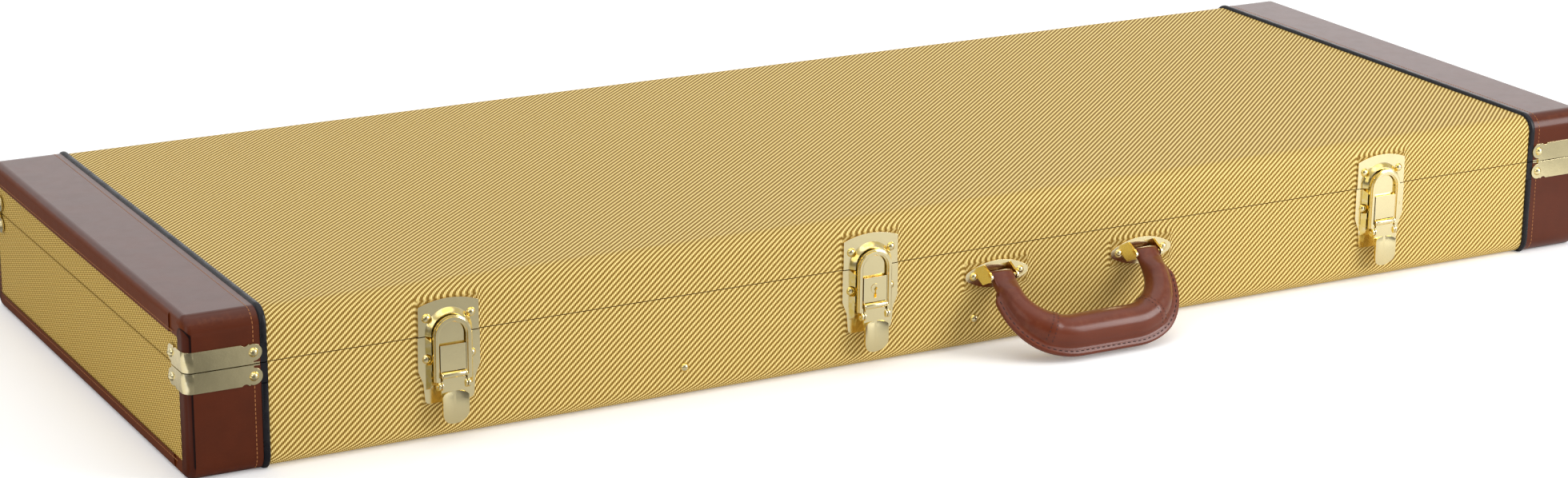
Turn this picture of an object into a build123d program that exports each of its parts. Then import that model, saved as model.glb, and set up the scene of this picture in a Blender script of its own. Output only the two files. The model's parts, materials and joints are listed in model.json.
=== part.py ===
"""Hard case for an electric guitar: two cloth-covered board shells, hinged at the back.

Millimetres. The origin is the centre of the underside, +X runs along the case towards the
body end, the latches and the handle face -Y, and +Z is up.
"""
from build123d import *
import math
import os

# Whole case, over its coverings
CASE_LENGTH = 1028.0
CASE_DEPTH = 375.0
CASE_HEIGHT = 98.0
SEAM_HEIGHT = 66.5
SEAM_GAP = 0.6

# Boards and coverings
BOARD = 6.0
CLOTH = 1.2
LEATHER = 2.0
BOARD_EDGE_RADIUS = 8.8
BOARD_END_RADIUS = 3.0
LEATHER_BAND = 45.5
LEATHER_UNDERSIDE_RELIEF = 0.3
PIPING_WIDTH = 4.5
PIPING_PROUD = 2.0
PIPING_ROUNDING = 1.9
WINDOW_SIDE_BORDER = 11.3
WINDOW_LOWER_BORDER = 9.7
WINDOW_UPPER_BORDER = 13.0
FOLD_DEPTH = 0.8
FOLD_UPPER_BORDER = 7.0

# Lining
LINER = 3.0
LIP_HEIGHT = 8.0
LIP_CLEARANCE = 0.5
SOFT_CLEARANCE = 0.3
FLOOR_PAD = 6.0
LID_PAD = 6.0
BLOCK_HEIGHT = 44.8
PAD_ROUNDING = 2.0
BODY_WELL_INSET = 536.0
WAIST_BLOCK_LENGTH = 250.0
WAIST_BLOCK_REACH = 42.0
END_BLOCK_SIZE = 118.0
END_BLOCK_LIP = 4.0
NECK_REST_INSET = 244.0
NECK_REST_LENGTH = 58.0
NECK_WIDTH = 64.0
NECK_NOTCH_DEPTH = 24.0
NECK_NOTCH_RADIUS = 8.0
NECK_CHANNEL_BACK = 50.0

# Accessory compartment beside the neck, from the middle of one end wall to the other's
COMPARTMENT_INSET = 320.0
COMPARTMENT_LENGTH = 208.5
COMPARTMENT_REACH = 118.0
COMPARTMENT_WALL = 5.0
COMPARTMENT_RIVET_HEIGHT = 20.0
COMPARTMENT_LID = 4.0
COMPARTMENT_LID_GAP = 0.3
COMPARTMENT_LID_ROUNDING = 1.9
TAB_WIDTH = 14.0
TAB_LENGTH = 24.0
TAB_THICKNESS = 1.5
TAB_ROUNDING = 4.6
TAB_SETBACK = 8.0

# Domed rivets
RIVET_RADIUS = 2.9
RIVET_HEIGHT = 2.0
RIVET_POCKET = 0.5

# Corner clamps
CLAMP_SHEET = 0.8
CLAMP_HEIGHT = 12.3
CLAMP_FRONT_LEG = 47.2
CLAMP_END_LEG = 27.3
CLAMP_LOBE_RADIUS = 5.2
CLAMP_NECK = 1.5
CLAMP_RIVET_HEIGHT = 7.0

# Draw latches, heights counted from the seam
LEFT_LATCH_INSET = 163.0
RIGHT_LATCH_INSET = 178.0
CENTRE_LATCH_OFFSET = 63.5
LATCH_SHEET = 1.0
LATCH_HALF_WIDTH = 20.0
LATCH_NECK_HALF_WIDTH = 16.8
LATCH_FOOT_HALF_WIDTH = 15.6
LATCH_FOOT_ROUNDING = 3.0
LATCH_SHOULDER_ROUNDING = 4.0
LATCH_PLATE_DROP = 42.2
LATCH_SHOULDER_DROP = 21.0
LATCH_NECK_DROP = 29.0
LATCH_RIVET_X = 14.3
BED_HALF_WIDTH = 15.2
BED_HEIGHT = 3.0
BED_SLOPE = 42.0
BED_DROP = 33.0
BED_POCKET_HALF_WIDTH = 12.7
HOUSING_HALF_WIDTH = 8.2
HOUSING_HEIGHT = 3.3
HOUSING_TOP_DROP = 5.0
HOUSING_BOTTOM_DROP = 21.2
CHEEK = 0.9
LEVER_PIVOT_DROP = 23.6
LEVER_BARREL_RADIUS = 2.0
LEVER_SHEET = 1.2
LEVER_SIDE_CLEARANCE = 0.2
LEVER_HALF_WIDTH = 8.1
LEVER_LENGTH = 30.9
SPOON_HALF_WIDTH = 8.45
LEVER_SHOULDER_GAP = 1.4
STUB_PROUD = 0.4
SPOON_START = 12.0
SPOON_SHOULDER = 1.0
SPOON_DISH_RADIUS = 15.5
LATCH_PIN_RADIUS = 1.0
PIN_CLEARANCE = 0.05
HASP_PIVOT_OFFSET = 6.5
HASP_PIVOT_INSET = 0.8
HASP_CLEARANCE = 0.3
HASP_HALF_WIDTH = 12.25
HASP_OPENING_HALF_WIDTH = 8.6
HASP_THICKNESS = 1.6
HASP_BEAD = 1.0
HASP_BEAD_INSET = 0.8
HASP_ARCH_RISE = 0.6
HASP_EAR = 1.6
HASP_EAR_RADIUS = 2.8
TONGUE_HALF_WIDTH = 7.9
TONGUE_PROUD = 1.0
TONGUE_DROP = 4.2
STRIKE_HALF_WIDTH = 19.5
STRIKE_SHOULDER_RISE = 18.5
STRIKE_TOP_RISE = 22.3
STRIKE_BED_CENTRE_RISE = 1.3
STRIKE_RIVET_RISE = 11.3
LATCH_RIVET_DROP = 14.0
LOCK_PLUG_RADIUS = 3.0
LOCK_PLUG_DEPTH = 2.6
LOCK_PLUG_PROUD = 0.3
LOCK_DROP = 12.5
KEY_HOLE_RADIUS = 1.25
KEY_SLOT_WIDTH = 1.8
KEY_SLOT_DROP = 6.2

# Carrying handle
HANDLE_X = 85.7
HANDLE_SPAN = 111.0
HANDLE_PIVOT_HEIGHT = 48.6
HANDLE_PIVOT_DEPTH = 8.0
HANDLE_TILT = 45.0
BRACKET_SHEET = 1.0
BRACKET_HALF_LENGTH = 26.3
BRACKET_HALF_HEIGHT = 9.0
BRACKET_TIP_RADIUS = 3.5
BRACKET_RIVET_X = 17.4
BRACKET_CHEEK = 1.5
BRACKET_BOSS_RADIUS = 3.3
BRACKET_FOOT_HALF_HEIGHT = 7.2
BAR_RADIUS = 1.6
BAR_CLEARANCE = 0.08
EYE_RADIUS = 4.3
EYE_WIDTH = 17.0
EYE_ROOT_REACH = 2.1
EYE_ROOT_HALF_HEIGHT = 4.1
EYE_SIDE_CLEARANCE = 0.4
GRIP_RADIUS = 11.3
GRIP_END_RADIUS = 8.4
GRIP_END_FLANGE_REACH = 12.0
GRIP_REACH = 46.5
GRIP_BEND_RADIUS = 34.0
GRIP_END_REACH = 12.4
GRIP_NECK_REACH = 9.0
GRIP_NECK_HALF_HEIGHT = 6.5
GRIP_FLANGE_REACH = 17.3
GRIP_FLANGE = 3.4
GRIP_SEAM_POSITION = 38.7
GRIP_SEAM_BAND = 0.4
GRIP_SEAM_LENGTH = 5.0

# Stop hinges on the back
HINGE_INSET = 184.0
HINGE_HALF_WIDTH = 19.0
HINGE_LEAF = 1.0
HINGE_LEAF_HEIGHT = 21.0
HINGE_LEAF_ROUNDING = 4.2
HINGE_AXIS_PROUD = 4.0
KNUCKLE_RADIUS = 2.7
KNUCKLE_GAP = 0.2
HINGE_PIN_RADIUS = 1.2
HINGE_RIVET_X = 12.5
HINGE_RIVET_SPACING = 14.0
HINGE_WEB = 3.2
LID_OPENING = 100.0
STOP_HALF_WIDTH = 3.0
STOP_THICKNESS = 2.2
STOP_REACH = 6.4
STOP_STEM_GAP = 1.0
STOP_CLEARANCE = 0.3

# Glides on the side that the case stands on
GLIDE_INSET = 109.0
GLIDE_HEIGHTS = (15.0, 51.0)
GLIDE_RADIUS = 11.0
GLIDE_HEIGHT = 11.0
GLIDE_RIM = 7.0

# Worked out from the sizes above
FRONT = -CASE_DEPTH / 2
BACK = CASE_DEPTH / 2
board_x = CASE_LENGTH / 2 - LEATHER
board_y = CASE_DEPTH / 2 - CLOTH
board_low = CLOTH
board_high = CASE_HEIGHT - CLOTH
inner_x = board_x - BOARD
inner_y = board_y - BOARD
floor_z = board_low + BOARD
ceiling_z = board_high - BOARD
base_top = SEAM_HEIGHT - SEAM_GAP / 2
lid_bottom = SEAM_HEIGHT + SEAM_GAP / 2
cap_inner_x = CASE_LENGTH / 2 - LEATHER_BAND
cloth_x = cap_inner_x - PIPING_WIDTH
leather_y = board_y + LEATHER
lined_x = inner_x - LINER
lined_y = inner_y - LINER
pad_top = floor_z + FLOOR_PAD
block_top = pad_top + BLOCK_HEIGHT
window_y = board_y + LEATHER - WINDOW_SIDE_BORDER
case_end = CASE_LENGTH / 2
body_well_start = BODY_WELL_INSET - case_end
neck_rest_x = NECK_REST_INSET - case_end
compartment_left = COMPARTMENT_INSET - case_end
compartment_right = compartment_left + COMPARTMENT_LENGTH
compartment_middle = compartment_left + COMPARTMENT_LENGTH / 2
latch_positions = {
    "left": LEFT_LATCH_INSET - case_end,
    "centre": -CENTRE_LATCH_OFFSET,
    "right": case_end - RIGHT_LATCH_INSET,
}
hinge_positions = (HINGE_INSET - case_end, 0, case_end - HINGE_INSET)
FAR = CASE_LENGTH


def block_between(low, high):
    """A plain block between its lowest and highest corner."""
    size = [b - a for a, b in zip(low, high)]
    with BuildPart() as block:
        with Locations(low):
            Box(*size, align=(Align.MIN, Align.MIN, Align.MIN))
    return block.part


def covered_block(cover):
    """The closed case as one block, lying `cover` outside its boards, with rounded edges."""
    with BuildPart() as block:
        with BuildSketch(Plane.YZ):
            with Locations((0, (board_low + board_high) / 2)):
                RectangleRounded(
                    2 * (board_y + cover),
                    board_high - board_low + 2 * cover,
                    BOARD_EDGE_RADIUS + cover,
                )
        extrude(amount=board_x + cover, both=True)
        fillet(block.faces().filter_by(Axis.X).edges(), BOARD_END_RADIUS + cover)
    return block.part


def front_plane(x, depth=0.0):
    """The front face at x, `depth` outside the cloth: its own axes are +X, +Z and outward."""
    return Plane(origin=(x, FRONT - depth, 0), x_dir=(1, 0, 0), z_dir=(0, -1, 0))


def side_plane(x, y, z, outward=-1):
    """An upright plane across the case at x: its own axes are outward along Y, and +Z."""
    return Plane(origin=(x, y, z), x_dir=(0, outward, 0), z_dir=(outward, 0, 0))


def keep(builder, name):
    """Label a finished piece and write it."""
    builder.part.label = name
    export_step(builder.part, f"parts/{name}.step")


def mirrored(part, *planes):
    """The part and its mirror images in each plane in turn, as a list of separate solids."""
    copies = [part]
    for plane in planes:
        copies = copies + [mirror(copy, about=plane, mode=Mode.PRIVATE) for copy in copies]
    return copies


os.makedirs("parts", exist_ok=True)

boards_block = covered_block(0)
cloth_block = covered_block(CLOTH)
leather_block = covered_block(LEATHER)
clamp_block = covered_block(LEATHER + CLAMP_SHEET)


# Boards of the two shells

BOARD_RANGES = {
    "bottom": ("base", (-inner_x, -inner_y, board_low), (inner_x, inner_y, floor_z)),
    "top": ("lid", (-inner_x, -inner_y, ceiling_z), (inner_x, inner_y, board_high)),
}
for half, low_z, high_z in (("base", board_low, base_top), ("lid", lid_bottom, board_high)):
    BOARD_RANGES[f"{half}_front"] = (half, (-board_x, -board_y, low_z), (board_x, -inner_y, high_z))
    BOARD_RANGES[f"{half}_back"] = (half, (-board_x, inner_y, low_z), (board_x, board_y, high_z))
    BOARD_RANGES[f"{half}_left"] = (half, (-board_x, -inner_y, low_z), (-inner_x, inner_y, high_z))
    BOARD_RANGES[f"{half}_right"] = (half, (inner_x, -inner_y, low_z), (board_x, inner_y, high_z))

for place, (half, low, high) in BOARD_RANGES.items():
    board_range = block_between(low, high)
    with BuildPart() as board:
        add(board_range)
        add(boards_block, mode=Mode.INTERSECT)
    keep(board, f"{half}_{place.removeprefix(half + '_')}_board")


# Cloth between the two bands of piping, wrapped round the long edges

cloth_turn_y = board_y - BOARD_EDGE_RADIUS
front_cloth_zone = block_between((-cloth_x, -FAR, -FAR), (cloth_x, -cloth_turn_y, base_top))
with BuildPart() as base_front_cloth:
    add(cloth_block)
    add(boards_block, mode=Mode.SUBTRACT)
    add(front_cloth_zone, mode=Mode.INTERSECT)
with BuildPart() as base_side_cloth:
    add(mirrored(base_front_cloth.part, Plane.XZ))
keep(base_side_cloth, "base_side_cloth")

with BuildPart() as base_underside_cloth:
    Box(2 * cloth_x, 2 * cloth_turn_y, CLOTH, align=(Align.CENTER, Align.CENTER, Align.MIN))
keep(base_underside_cloth, "base_underside_cloth")

lid_cloth_zone = block_between((-cloth_x, -FAR, lid_bottom), (cloth_x, FAR, FAR))
with BuildPart() as lid_cloth:
    add(cloth_block)
    add(boards_block, mode=Mode.SUBTRACT)
    add(lid_cloth_zone, mode=Mode.INTERSECT)
keep(lid_cloth, "lid_cloth")


# Cloth windows in the leather ends

WINDOW_RANGES = {
    "base": (WINDOW_LOWER_BORDER, base_top),
    "lid": (lid_bottom, CASE_HEIGHT - WINDOW_UPPER_BORDER),
}
for half, (low_z, high_z) in WINDOW_RANGES.items():
    with BuildPart() as windows:
        for x in (-board_x - CLOTH, board_x):
            with Locations((x, -window_y, low_z)):
                Box(CLOTH, 2 * window_y, high_z - low_z, align=(Align.MIN, Align.MIN, Align.MIN))
    keep(windows, f"{half}_end_cloth")


# Corner clamps: sheet brass round each upright corner, folded over the leather at the seam

def clamp_outline(leg, direction):
    """The face of a clamp's leg, from the corner at x = 0, seam edge at y = 0."""
    lobe_x = leg - CLAMP_LOBE_RADIUS
    with BuildSketch(Plane.XY) as outline:
        with Locations((-CLAMP_SHEET, 0)):
            Rectangle(lobe_x - CLAMP_NECK, CLAMP_HEIGHT, align=(Align.MIN, Align.MIN))
        with Locations((lobe_x, CLAMP_RIVET_HEIGHT)):
            Circle(CLAMP_LOBE_RADIUS)
        Rectangle(lobe_x, CLAMP_RIVET_HEIGHT, align=(Align.MIN, Align.MIN))
        with Locations((lobe_x - CLAMP_LOBE_RADIUS, CLAMP_HEIGHT + CLAMP_NECK)):
            Circle(CLAMP_LOBE_RADIUS / 2, mode=Mode.SUBTRACT)
    if direction < 0:
        return mirror(outline.sketch, about=Plane.XZ, mode=Mode.PRIVATE)
    return outline.sketch


clamp_corner = (-CASE_LENGTH / 2 - CLAMP_SHEET, -leather_y - CLAMP_SHEET)
reach_in = 2 * (BOARD_END_RADIUS + LEATHER)
CLAMP_SEAMS = {"base": (base_top, -1), "lid": (lid_bottom, 1)}
flange_zones = {}
clamps = {}
for half, (edge_z, direction) in CLAMP_SEAMS.items():
    corner_x, corner_y = clamp_corner
    front_face = Plane(
        origin=(corner_x, corner_y - CLAMP_SHEET, edge_z), x_dir=(1, 0, 0), z_dir=(0, -1, 0)
    )
    end_face = Plane(
        origin=(corner_x - CLAMP_SHEET, corner_y, edge_z), x_dir=(0, 1, 0), z_dir=(1, 0, 0)
    )
    front_outline = clamp_outline(CLAMP_FRONT_LEG, direction)
    end_outline = clamp_outline(CLAMP_END_LEG, direction)
    with BuildPart() as legs:
        with BuildSketch(front_face):
            add(front_outline)
        extrude(amount=-reach_in)
        with BuildSketch(end_face):
            add(end_outline)
        extrude(amount=reach_in)
    flange_low = min(edge_z, edge_z + direction * CLAMP_SHEET)
    flange_zone = block_between(
        (corner_x, corner_y, flange_low),
        (-cap_inner_x - SOFT_CLEARANCE, -window_y - SOFT_CLEARANCE, flange_low + CLAMP_SHEET),
    )
    with BuildPart() as flange:
        add(leather_block)
        add(boards_block, mode=Mode.SUBTRACT)
        add(flange_zone, mode=Mode.INTERSECT)
    with BuildPart() as clamp:
        add(legs.part)
        add(clamp_block, mode=Mode.INTERSECT)
        add(leather_block, mode=Mode.SUBTRACT)
        add(flange.part)
    flange_zones[half] = mirrored(flange.part, Plane.XZ, Plane.YZ)
    clamps[half] = clamp.part
    with BuildPart() as corner_clamps:
        add(mirrored(clamp.part, Plane.XZ, Plane.YZ))
    keep(corner_clamps, f"{half}_corner_clamps")


# Leather ends with their window, and the piping beside them

HALF_RANGES = {"base": (LEATHER_UNDERSIDE_RELIEF, base_top), "lid": (lid_bottom, FAR)}
SIDES = {"left": -1, "right": 1}
fold_top = CASE_HEIGHT - FOLD_UPPER_BORDER
fold_width = BOARD_END_RADIUS + WINDOW_SIDE_BORDER
for half, (low_z, high_z) in HALF_RANGES.items():
    window_low, window_high = WINDOW_RANGES[half]
    for side, sign in SIDES.items():
        near, far = sorted((sign * cap_inner_x, sign * FAR))
        cap_zone = block_between((near, -FAR, low_z), (far, FAR, high_z))
        with BuildPart() as leather_end:
            add(leather_block)
            add(boards_block, mode=Mode.SUBTRACT)
            add(cap_zone, mode=Mode.INTERSECT)
            with Locations((sign * CASE_LENGTH / 2, 0, (window_low + window_high) / 2)):
                Box(4 * LEATHER, 2 * window_y, window_high - window_low, mode=Mode.SUBTRACT)
            with BuildSketch(Plane.YZ.offset(sign * (CASE_LENGTH / 2 - FOLD_DEPTH))):
                for y in (-window_y, window_y):
                    with Locations((y, fold_top)):
                        SlotOverall(
                            4 * fold_top, fold_width, rotation=90, align=(Align.CENTER, Align.MAX)
                        )
            extrude(amount=sign * 2 * FOLD_DEPTH, mode=Mode.SUBTRACT)
            for flange_copy in flange_zones[half]:
                add(flange_copy, mode=Mode.SUBTRACT)
        keep(leather_end, f"{half}_{side}_leather_end")

piping_cover = CLOTH + PIPING_PROUD
clamp_reach = CLAMP_HEIGHT + SOFT_CLEARANCE
with BuildPart() as piping_ring:
    with BuildSketch(Plane.YZ.offset(cloth_x)):
        with Locations((0, (board_low + board_high) / 2)):
            RectangleRounded(
                2 * (board_y + piping_cover),
                board_high - board_low + 2 * piping_cover,
                BOARD_EDGE_RADIUS + piping_cover,
            )
    extrude(amount=PIPING_WIDTH)
    fillet(piping_ring.faces().filter_by(Axis.X).edges(), PIPING_ROUNDING)
    add(boards_block, mode=Mode.SUBTRACT)
    for y in (-1, 1):
        with Locations((cap_inner_x, y * (leather_y + piping_cover), SEAM_HEIGHT)):
            Box(4 * PIPING_WIDTH, 2 * piping_cover, 2 * clamp_reach, mode=Mode.SUBTRACT)
for half, (low_z, high_z) in HALF_RANGES.items():
    half_zone = block_between((0, -FAR, low_z), (FAR, FAR, high_z))
    with BuildPart() as half_ring:
        add(piping_ring.part)
        add(half_zone, mode=Mode.INTERSECT)
    with BuildPart() as piping:
        add(mirrored(half_ring.part, Plane.YZ))
    keep(piping, f"{half}_piping")


# Lining of the base

with BuildPart() as liner_boards:
    for y in (-1, 1):
        with Locations((0, y * (inner_y - LINER / 2), (floor_z + base_top) / 2)):
            Box(2 * inner_x, LINER, base_top - floor_z)
        with Locations((0, y * (inner_y - (LINER + LIP_CLEARANCE) / 2), base_top + LIP_HEIGHT / 2)):
            Box(2 * (inner_x - LIP_CLEARANCE), LINER - LIP_CLEARANCE, LIP_HEIGHT)
    for x in (-1, 1):
        with Locations((x * (inner_x - LINER / 2), 0, (floor_z + base_top) / 2)):
            Box(LINER, 2 * (lined_y - SOFT_CLEARANCE), base_top - floor_z)
        with Locations((x * (inner_x - (LINER + LIP_CLEARANCE) / 2), 0, base_top + LIP_HEIGHT / 2)):
            Box(LINER - LIP_CLEARANCE, 2 * (lined_y - SOFT_CLEARANCE), LIP_HEIGHT)
keep(liner_boards, "base_liner_boards")

pad_x = lined_x - SOFT_CLEARANCE
pad_y = lined_y - SOFT_CLEARANCE
waist_x = pad_x - END_BLOCK_SIZE - SOFT_CLEARANCE - WAIST_BLOCK_LENGTH / 2
with BuildPart() as floor_pad:
    with Locations((0, 0, floor_z)):
        Box(2 * pad_x, 2 * pad_y, FLOOR_PAD, align=(Align.CENTER, Align.CENTER, Align.MIN))
    fillet(floor_pad.faces().sort_by(Axis.Z)[-1].edges(), PAD_ROUNDING)
keep(floor_pad, "base_floor_pad")

for name, sign in (("front_waist_block", -1), ("back_waist_block", 1)):
    with BuildPart() as waist_block:
        with BuildSketch(Plane.XY.offset(pad_top)):
            with BuildLine():
                half_length = WAIST_BLOCK_LENGTH / 2
                wall = sign * pad_y
                ThreePointArc(
                    (waist_x - half_length, wall),
                    (waist_x, wall - sign * WAIST_BLOCK_REACH),
                    (waist_x + half_length, wall),
                )
                Line((waist_x + half_length, wall), (waist_x - half_length, wall))
            make_face()
        extrude(amount=BLOCK_HEIGHT)
        fillet(waist_block.faces().sort_by(Axis.Z)[-1].edges(), PAD_ROUNDING)
    keep(waist_block, name)

with BuildPart() as end_blocks:
    with BuildSketch(Plane.XY.offset(pad_top)):
        for sign in (-1, 1):
            with Locations((pad_x - END_BLOCK_SIZE / 2, sign * (pad_y - END_BLOCK_SIZE / 2))):
                Rectangle(END_BLOCK_SIZE, END_BLOCK_SIZE)
            with Locations((pad_x - END_BLOCK_SIZE, sign * (pad_y - END_BLOCK_SIZE))):
                Circle(END_BLOCK_SIZE - END_BLOCK_LIP, mode=Mode.SUBTRACT)
    extrude(amount=BLOCK_HEIGHT)
keep(end_blocks, "body_end_corner_blocks")

with BuildPart() as neck_rest:
    with BuildSketch(Plane.YZ.offset(neck_rest_x)):
        with Locations((0, pad_top)):
            Rectangle(2 * pad_y, BLOCK_HEIGHT, align=(Align.CENTER, Align.MIN))
        with Locations((0, block_top - NECK_NOTCH_DEPTH)):
            RectangleRounded(
                NECK_WIDTH, 4 * NECK_NOTCH_DEPTH, NECK_NOTCH_RADIUS,
                align=(Align.CENTER, Align.MIN), mode=Mode.SUBTRACT,
            )
    extrude(amount=NECK_REST_LENGTH / 2, both=True)
keep(neck_rest, "neck_rest_block")

side_block_start = neck_rest_x + NECK_REST_LENGTH / 2 + SOFT_CLEARANCE
with BuildPart() as neck_side_block:
    with Locations((side_block_start, NECK_CHANNEL_BACK, pad_top)):
        Box(
            body_well_start - side_block_start, pad_y - NECK_CHANNEL_BACK, BLOCK_HEIGHT,
            align=(Align.MIN, Align.MIN, Align.MIN),
        )
    fillet(neck_side_block.faces().sort_by(Axis.Z)[-1].edges(), PAD_ROUNDING)
keep(neck_side_block, "neck_side_block")


# Accessory compartment

compartment_inner_y = -pad_y + COMPARTMENT_REACH
for name, x in (("compartment_left_wall", compartment_left), ("compartment_right_wall", compartment_right)):
    with BuildPart() as compartment_end:
        with Locations((x, -pad_y, pad_top)):
            Box(
                COMPARTMENT_WALL, COMPARTMENT_REACH, BLOCK_HEIGHT,
                align=(Align.CENTER, Align.MIN, Align.MIN),
            )
    keep(compartment_end, name)

with BuildPart() as compartment_long_wall:
    with Locations((compartment_middle, compartment_inner_y, pad_top)):
        Box(
            COMPARTMENT_LENGTH + COMPARTMENT_WALL, COMPARTMENT_WALL, BLOCK_HEIGHT,
            align=(Align.CENTER, Align.MIN, Align.MIN),
        )
keep(compartment_long_wall, "compartment_long_wall")

compartment_lid_low = block_top + COMPARTMENT_LID_GAP
compartment_lid_front = -pad_y + SOFT_CLEARANCE
compartment_lid_back = compartment_inner_y + COMPARTMENT_WALL - SOFT_CLEARANCE
with BuildPart() as compartment_lid:
    with Locations((compartment_middle, compartment_lid_front, compartment_lid_low)):
        Box(
            COMPARTMENT_LENGTH + COMPARTMENT_WALL,
            compartment_lid_back - compartment_lid_front,
            COMPARTMENT_LID,
            align=(Align.CENTER, Align.MIN, Align.MIN),
        )
    fillet(
        compartment_lid.edges().filter_by(Axis.X).group_by(Axis.Y)[-1], COMPARTMENT_LID_ROUNDING
    )
keep(compartment_lid, "compartment_lid")

with BuildPart() as pull_tab:
    with Locations((
        compartment_middle,
        compartment_lid_front + TAB_SETBACK,
        compartment_lid_low + COMPARTMENT_LID,
    )):
        Box(TAB_WIDTH, TAB_LENGTH, TAB_THICKNESS, align=(Align.CENTER, Align.MIN, Align.MIN))
    fillet(pull_tab.edges().filter_by(Axis.Z), TAB_ROUNDING)
keep(pull_tab, "compartment_pull_tab")


# Lining of the lid

with BuildPart() as lid_pad:
    with Locations((0, 0, ceiling_z - LID_PAD)):
        Box(
            2 * (inner_x - SOFT_CLEARANCE), 2 * (inner_y - SOFT_CLEARANCE), LID_PAD,
            align=(Align.CENTER, Align.CENTER, Align.MIN),
        )
    fillet(lid_pad.faces().sort_by(Axis.Z)[0].edges(), PAD_ROUNDING)
keep(lid_pad, "lid_lining_pad")


# Domed rivets

def domed_disc(radius, height, rim=0.0):
    """A ball cap on a straight rim, standing on the XY plane."""
    cap_height = height - rim
    ball_radius = (radius ** 2 + cap_height ** 2) / (2 * cap_height)
    with BuildPart() as disc:
        with Locations((0, 0, height - ball_radius)):
            Sphere(ball_radius)
        split(bisect_by=Plane.XY.offset(rim), keep=Keep.TOP)
        if rim > 0:
            with BuildSketch(Plane.XY):
                Circle(radius)
            extrude(amount=rim)
    return disc.part


rivet_head = domed_disc(RIVET_RADIUS, RIVET_HEIGHT)


def riveted(name, planes):
    """Write one node of domed rivets, one standing on each plane."""
    with BuildPart() as rivets:
        with Locations(*planes):
            add(rivet_head)
    keep(rivets, name)


def clamp_rivet_planes(half):
    """Where the rivets of the four clamps on one half stand."""
    edge_z, direction = CLAMP_SEAMS[half]
    z = edge_z + direction * CLAMP_RIVET_HEIGHT
    corner_x, corner_y = clamp_corner
    front_x = -corner_x - CLAMP_FRONT_LEG + CLAMP_LOBE_RADIUS
    end_y = -corner_y - CLAMP_END_LEG + CLAMP_LOBE_RADIUS
    planes = []
    for sx in (-1, 1):
        for sy in (-1, 1):
            planes.append(Plane(origin=(sx * front_x, sy * -corner_y, z), z_dir=(0, sy, 0)))
            planes.append(Plane(origin=(sx * -corner_x, sy * end_y, z), z_dir=(sx, 0, 0)))
    return planes


# Stop hinges

hinge_axis_y = BACK + HINGE_AXIS_PROUD
knuckle_third = 2 * HINGE_HALF_WIDTH / 3
stop_face_angle = math.radians(LID_OPENING - 90)


def hinge_leaf(x, direction):
    """One leaf below (-1) or above (+1) the hinge axis, lying on the cloth."""
    edge_z = base_top if direction < 0 else lid_bottom
    far_z = edge_z + direction * HINGE_LEAF_HEIGHT
    leaf_low, leaf_high = sorted((edge_z, far_z))
    own_knuckles = (-knuckle_third, knuckle_third) if direction < 0 else (0,)
    knuckle_length = knuckle_third - KNUCKLE_GAP
    with BuildPart() as leaf:
        with Locations((x, BACK, (leaf_low + leaf_high) / 2)):
            Box(
                2 * HINGE_HALF_WIDTH, HINGE_LEAF, leaf_high - leaf_low,
                align=(Align.CENTER, Align.MIN, Align.CENTER),
            )
        fillet(
            leaf.edges().filter_by(Axis.Y).group_by(Axis.Z)[0 if direction < 0 else -1],
            HINGE_LEAF_ROUNDING,
        )
        for offset in own_knuckles:
            with BuildSketch(side_plane(x + offset, hinge_axis_y, SEAM_HEIGHT, outward=1)):
                Circle(KNUCKLE_RADIUS)
                web_low, web_high = sorted((edge_z - SEAM_HEIGHT, direction * HINGE_WEB))
                with Locations((-HINGE_AXIS_PROUD, (web_low + web_high) / 2)):
                    Rectangle(HINGE_AXIS_PROUD, web_high - web_low, align=(Align.MIN, Align.CENTER))
                Circle(HINGE_PIN_RADIUS + PIN_CLEARANCE, mode=Mode.SUBTRACT)
            extrude(amount=knuckle_length / 2, both=True)
        if direction < 0:
            slope = math.tan(stop_face_angle)
            face_z = (HINGE_AXIS_PROUD - HINGE_LEAF) / math.cos(stop_face_angle) - STOP_CLEARANCE
            stem = KNUCKLE_RADIUS + STOP_STEM_GAP
            with BuildSketch(side_plane(x, hinge_axis_y, SEAM_HEIGHT, outward=1)):
                with BuildLine():
                    Polyline(
                        (HINGE_LEAF - HINGE_AXIS_PROUD, -stem),
                        (stem, -stem),
                        (STOP_REACH - STOP_THICKNESS, face_z - slope * (STOP_REACH - STOP_THICKNESS)),
                        (STOP_REACH, face_z - slope * STOP_REACH),
                        (STOP_REACH, face_z - slope * STOP_REACH - STOP_THICKNESS),
                        (stem + STOP_THICKNESS / 2, -stem - STOP_THICKNESS),
                        (HINGE_LEAF - HINGE_AXIS_PROUD, -stem - STOP_THICKNESS),
                        close=True,
                    )
                make_face()
            extrude(amount=STOP_HALF_WIDTH, both=True)
    return leaf


def hinge_rivet_planes(direction):
    """Where the rivets of one row of hinge leaves stand."""
    z = SEAM_HEIGHT + direction * HINGE_RIVET_SPACING
    planes = []
    for x in hinge_positions:
        for offset in (-HINGE_RIVET_X, HINGE_RIVET_X):
            planes.append(Plane(origin=(x + offset, BACK + HINGE_LEAF, z), z_dir=(0, 1, 0)))
    return planes


for name, direction in (("base_hinge_leaves", -1), ("lid_hinge_leaves", 1)):
    leaves = [hinge_leaf(x, direction) for x in hinge_positions]
    with BuildPart() as leaf_row:
        add([leaf.part for leaf in leaves])
    keep(leaf_row, name)

with BuildPart() as hinge_pins:
    for x in hinge_positions:
        with BuildSketch(side_plane(x, hinge_axis_y, SEAM_HEIGHT, outward=1)):
            Circle(HINGE_PIN_RADIUS)
        extrude(amount=HINGE_HALF_WIDTH, both=True)
keep(hinge_pins, "hinge_pins")


# Draw latches

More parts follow.
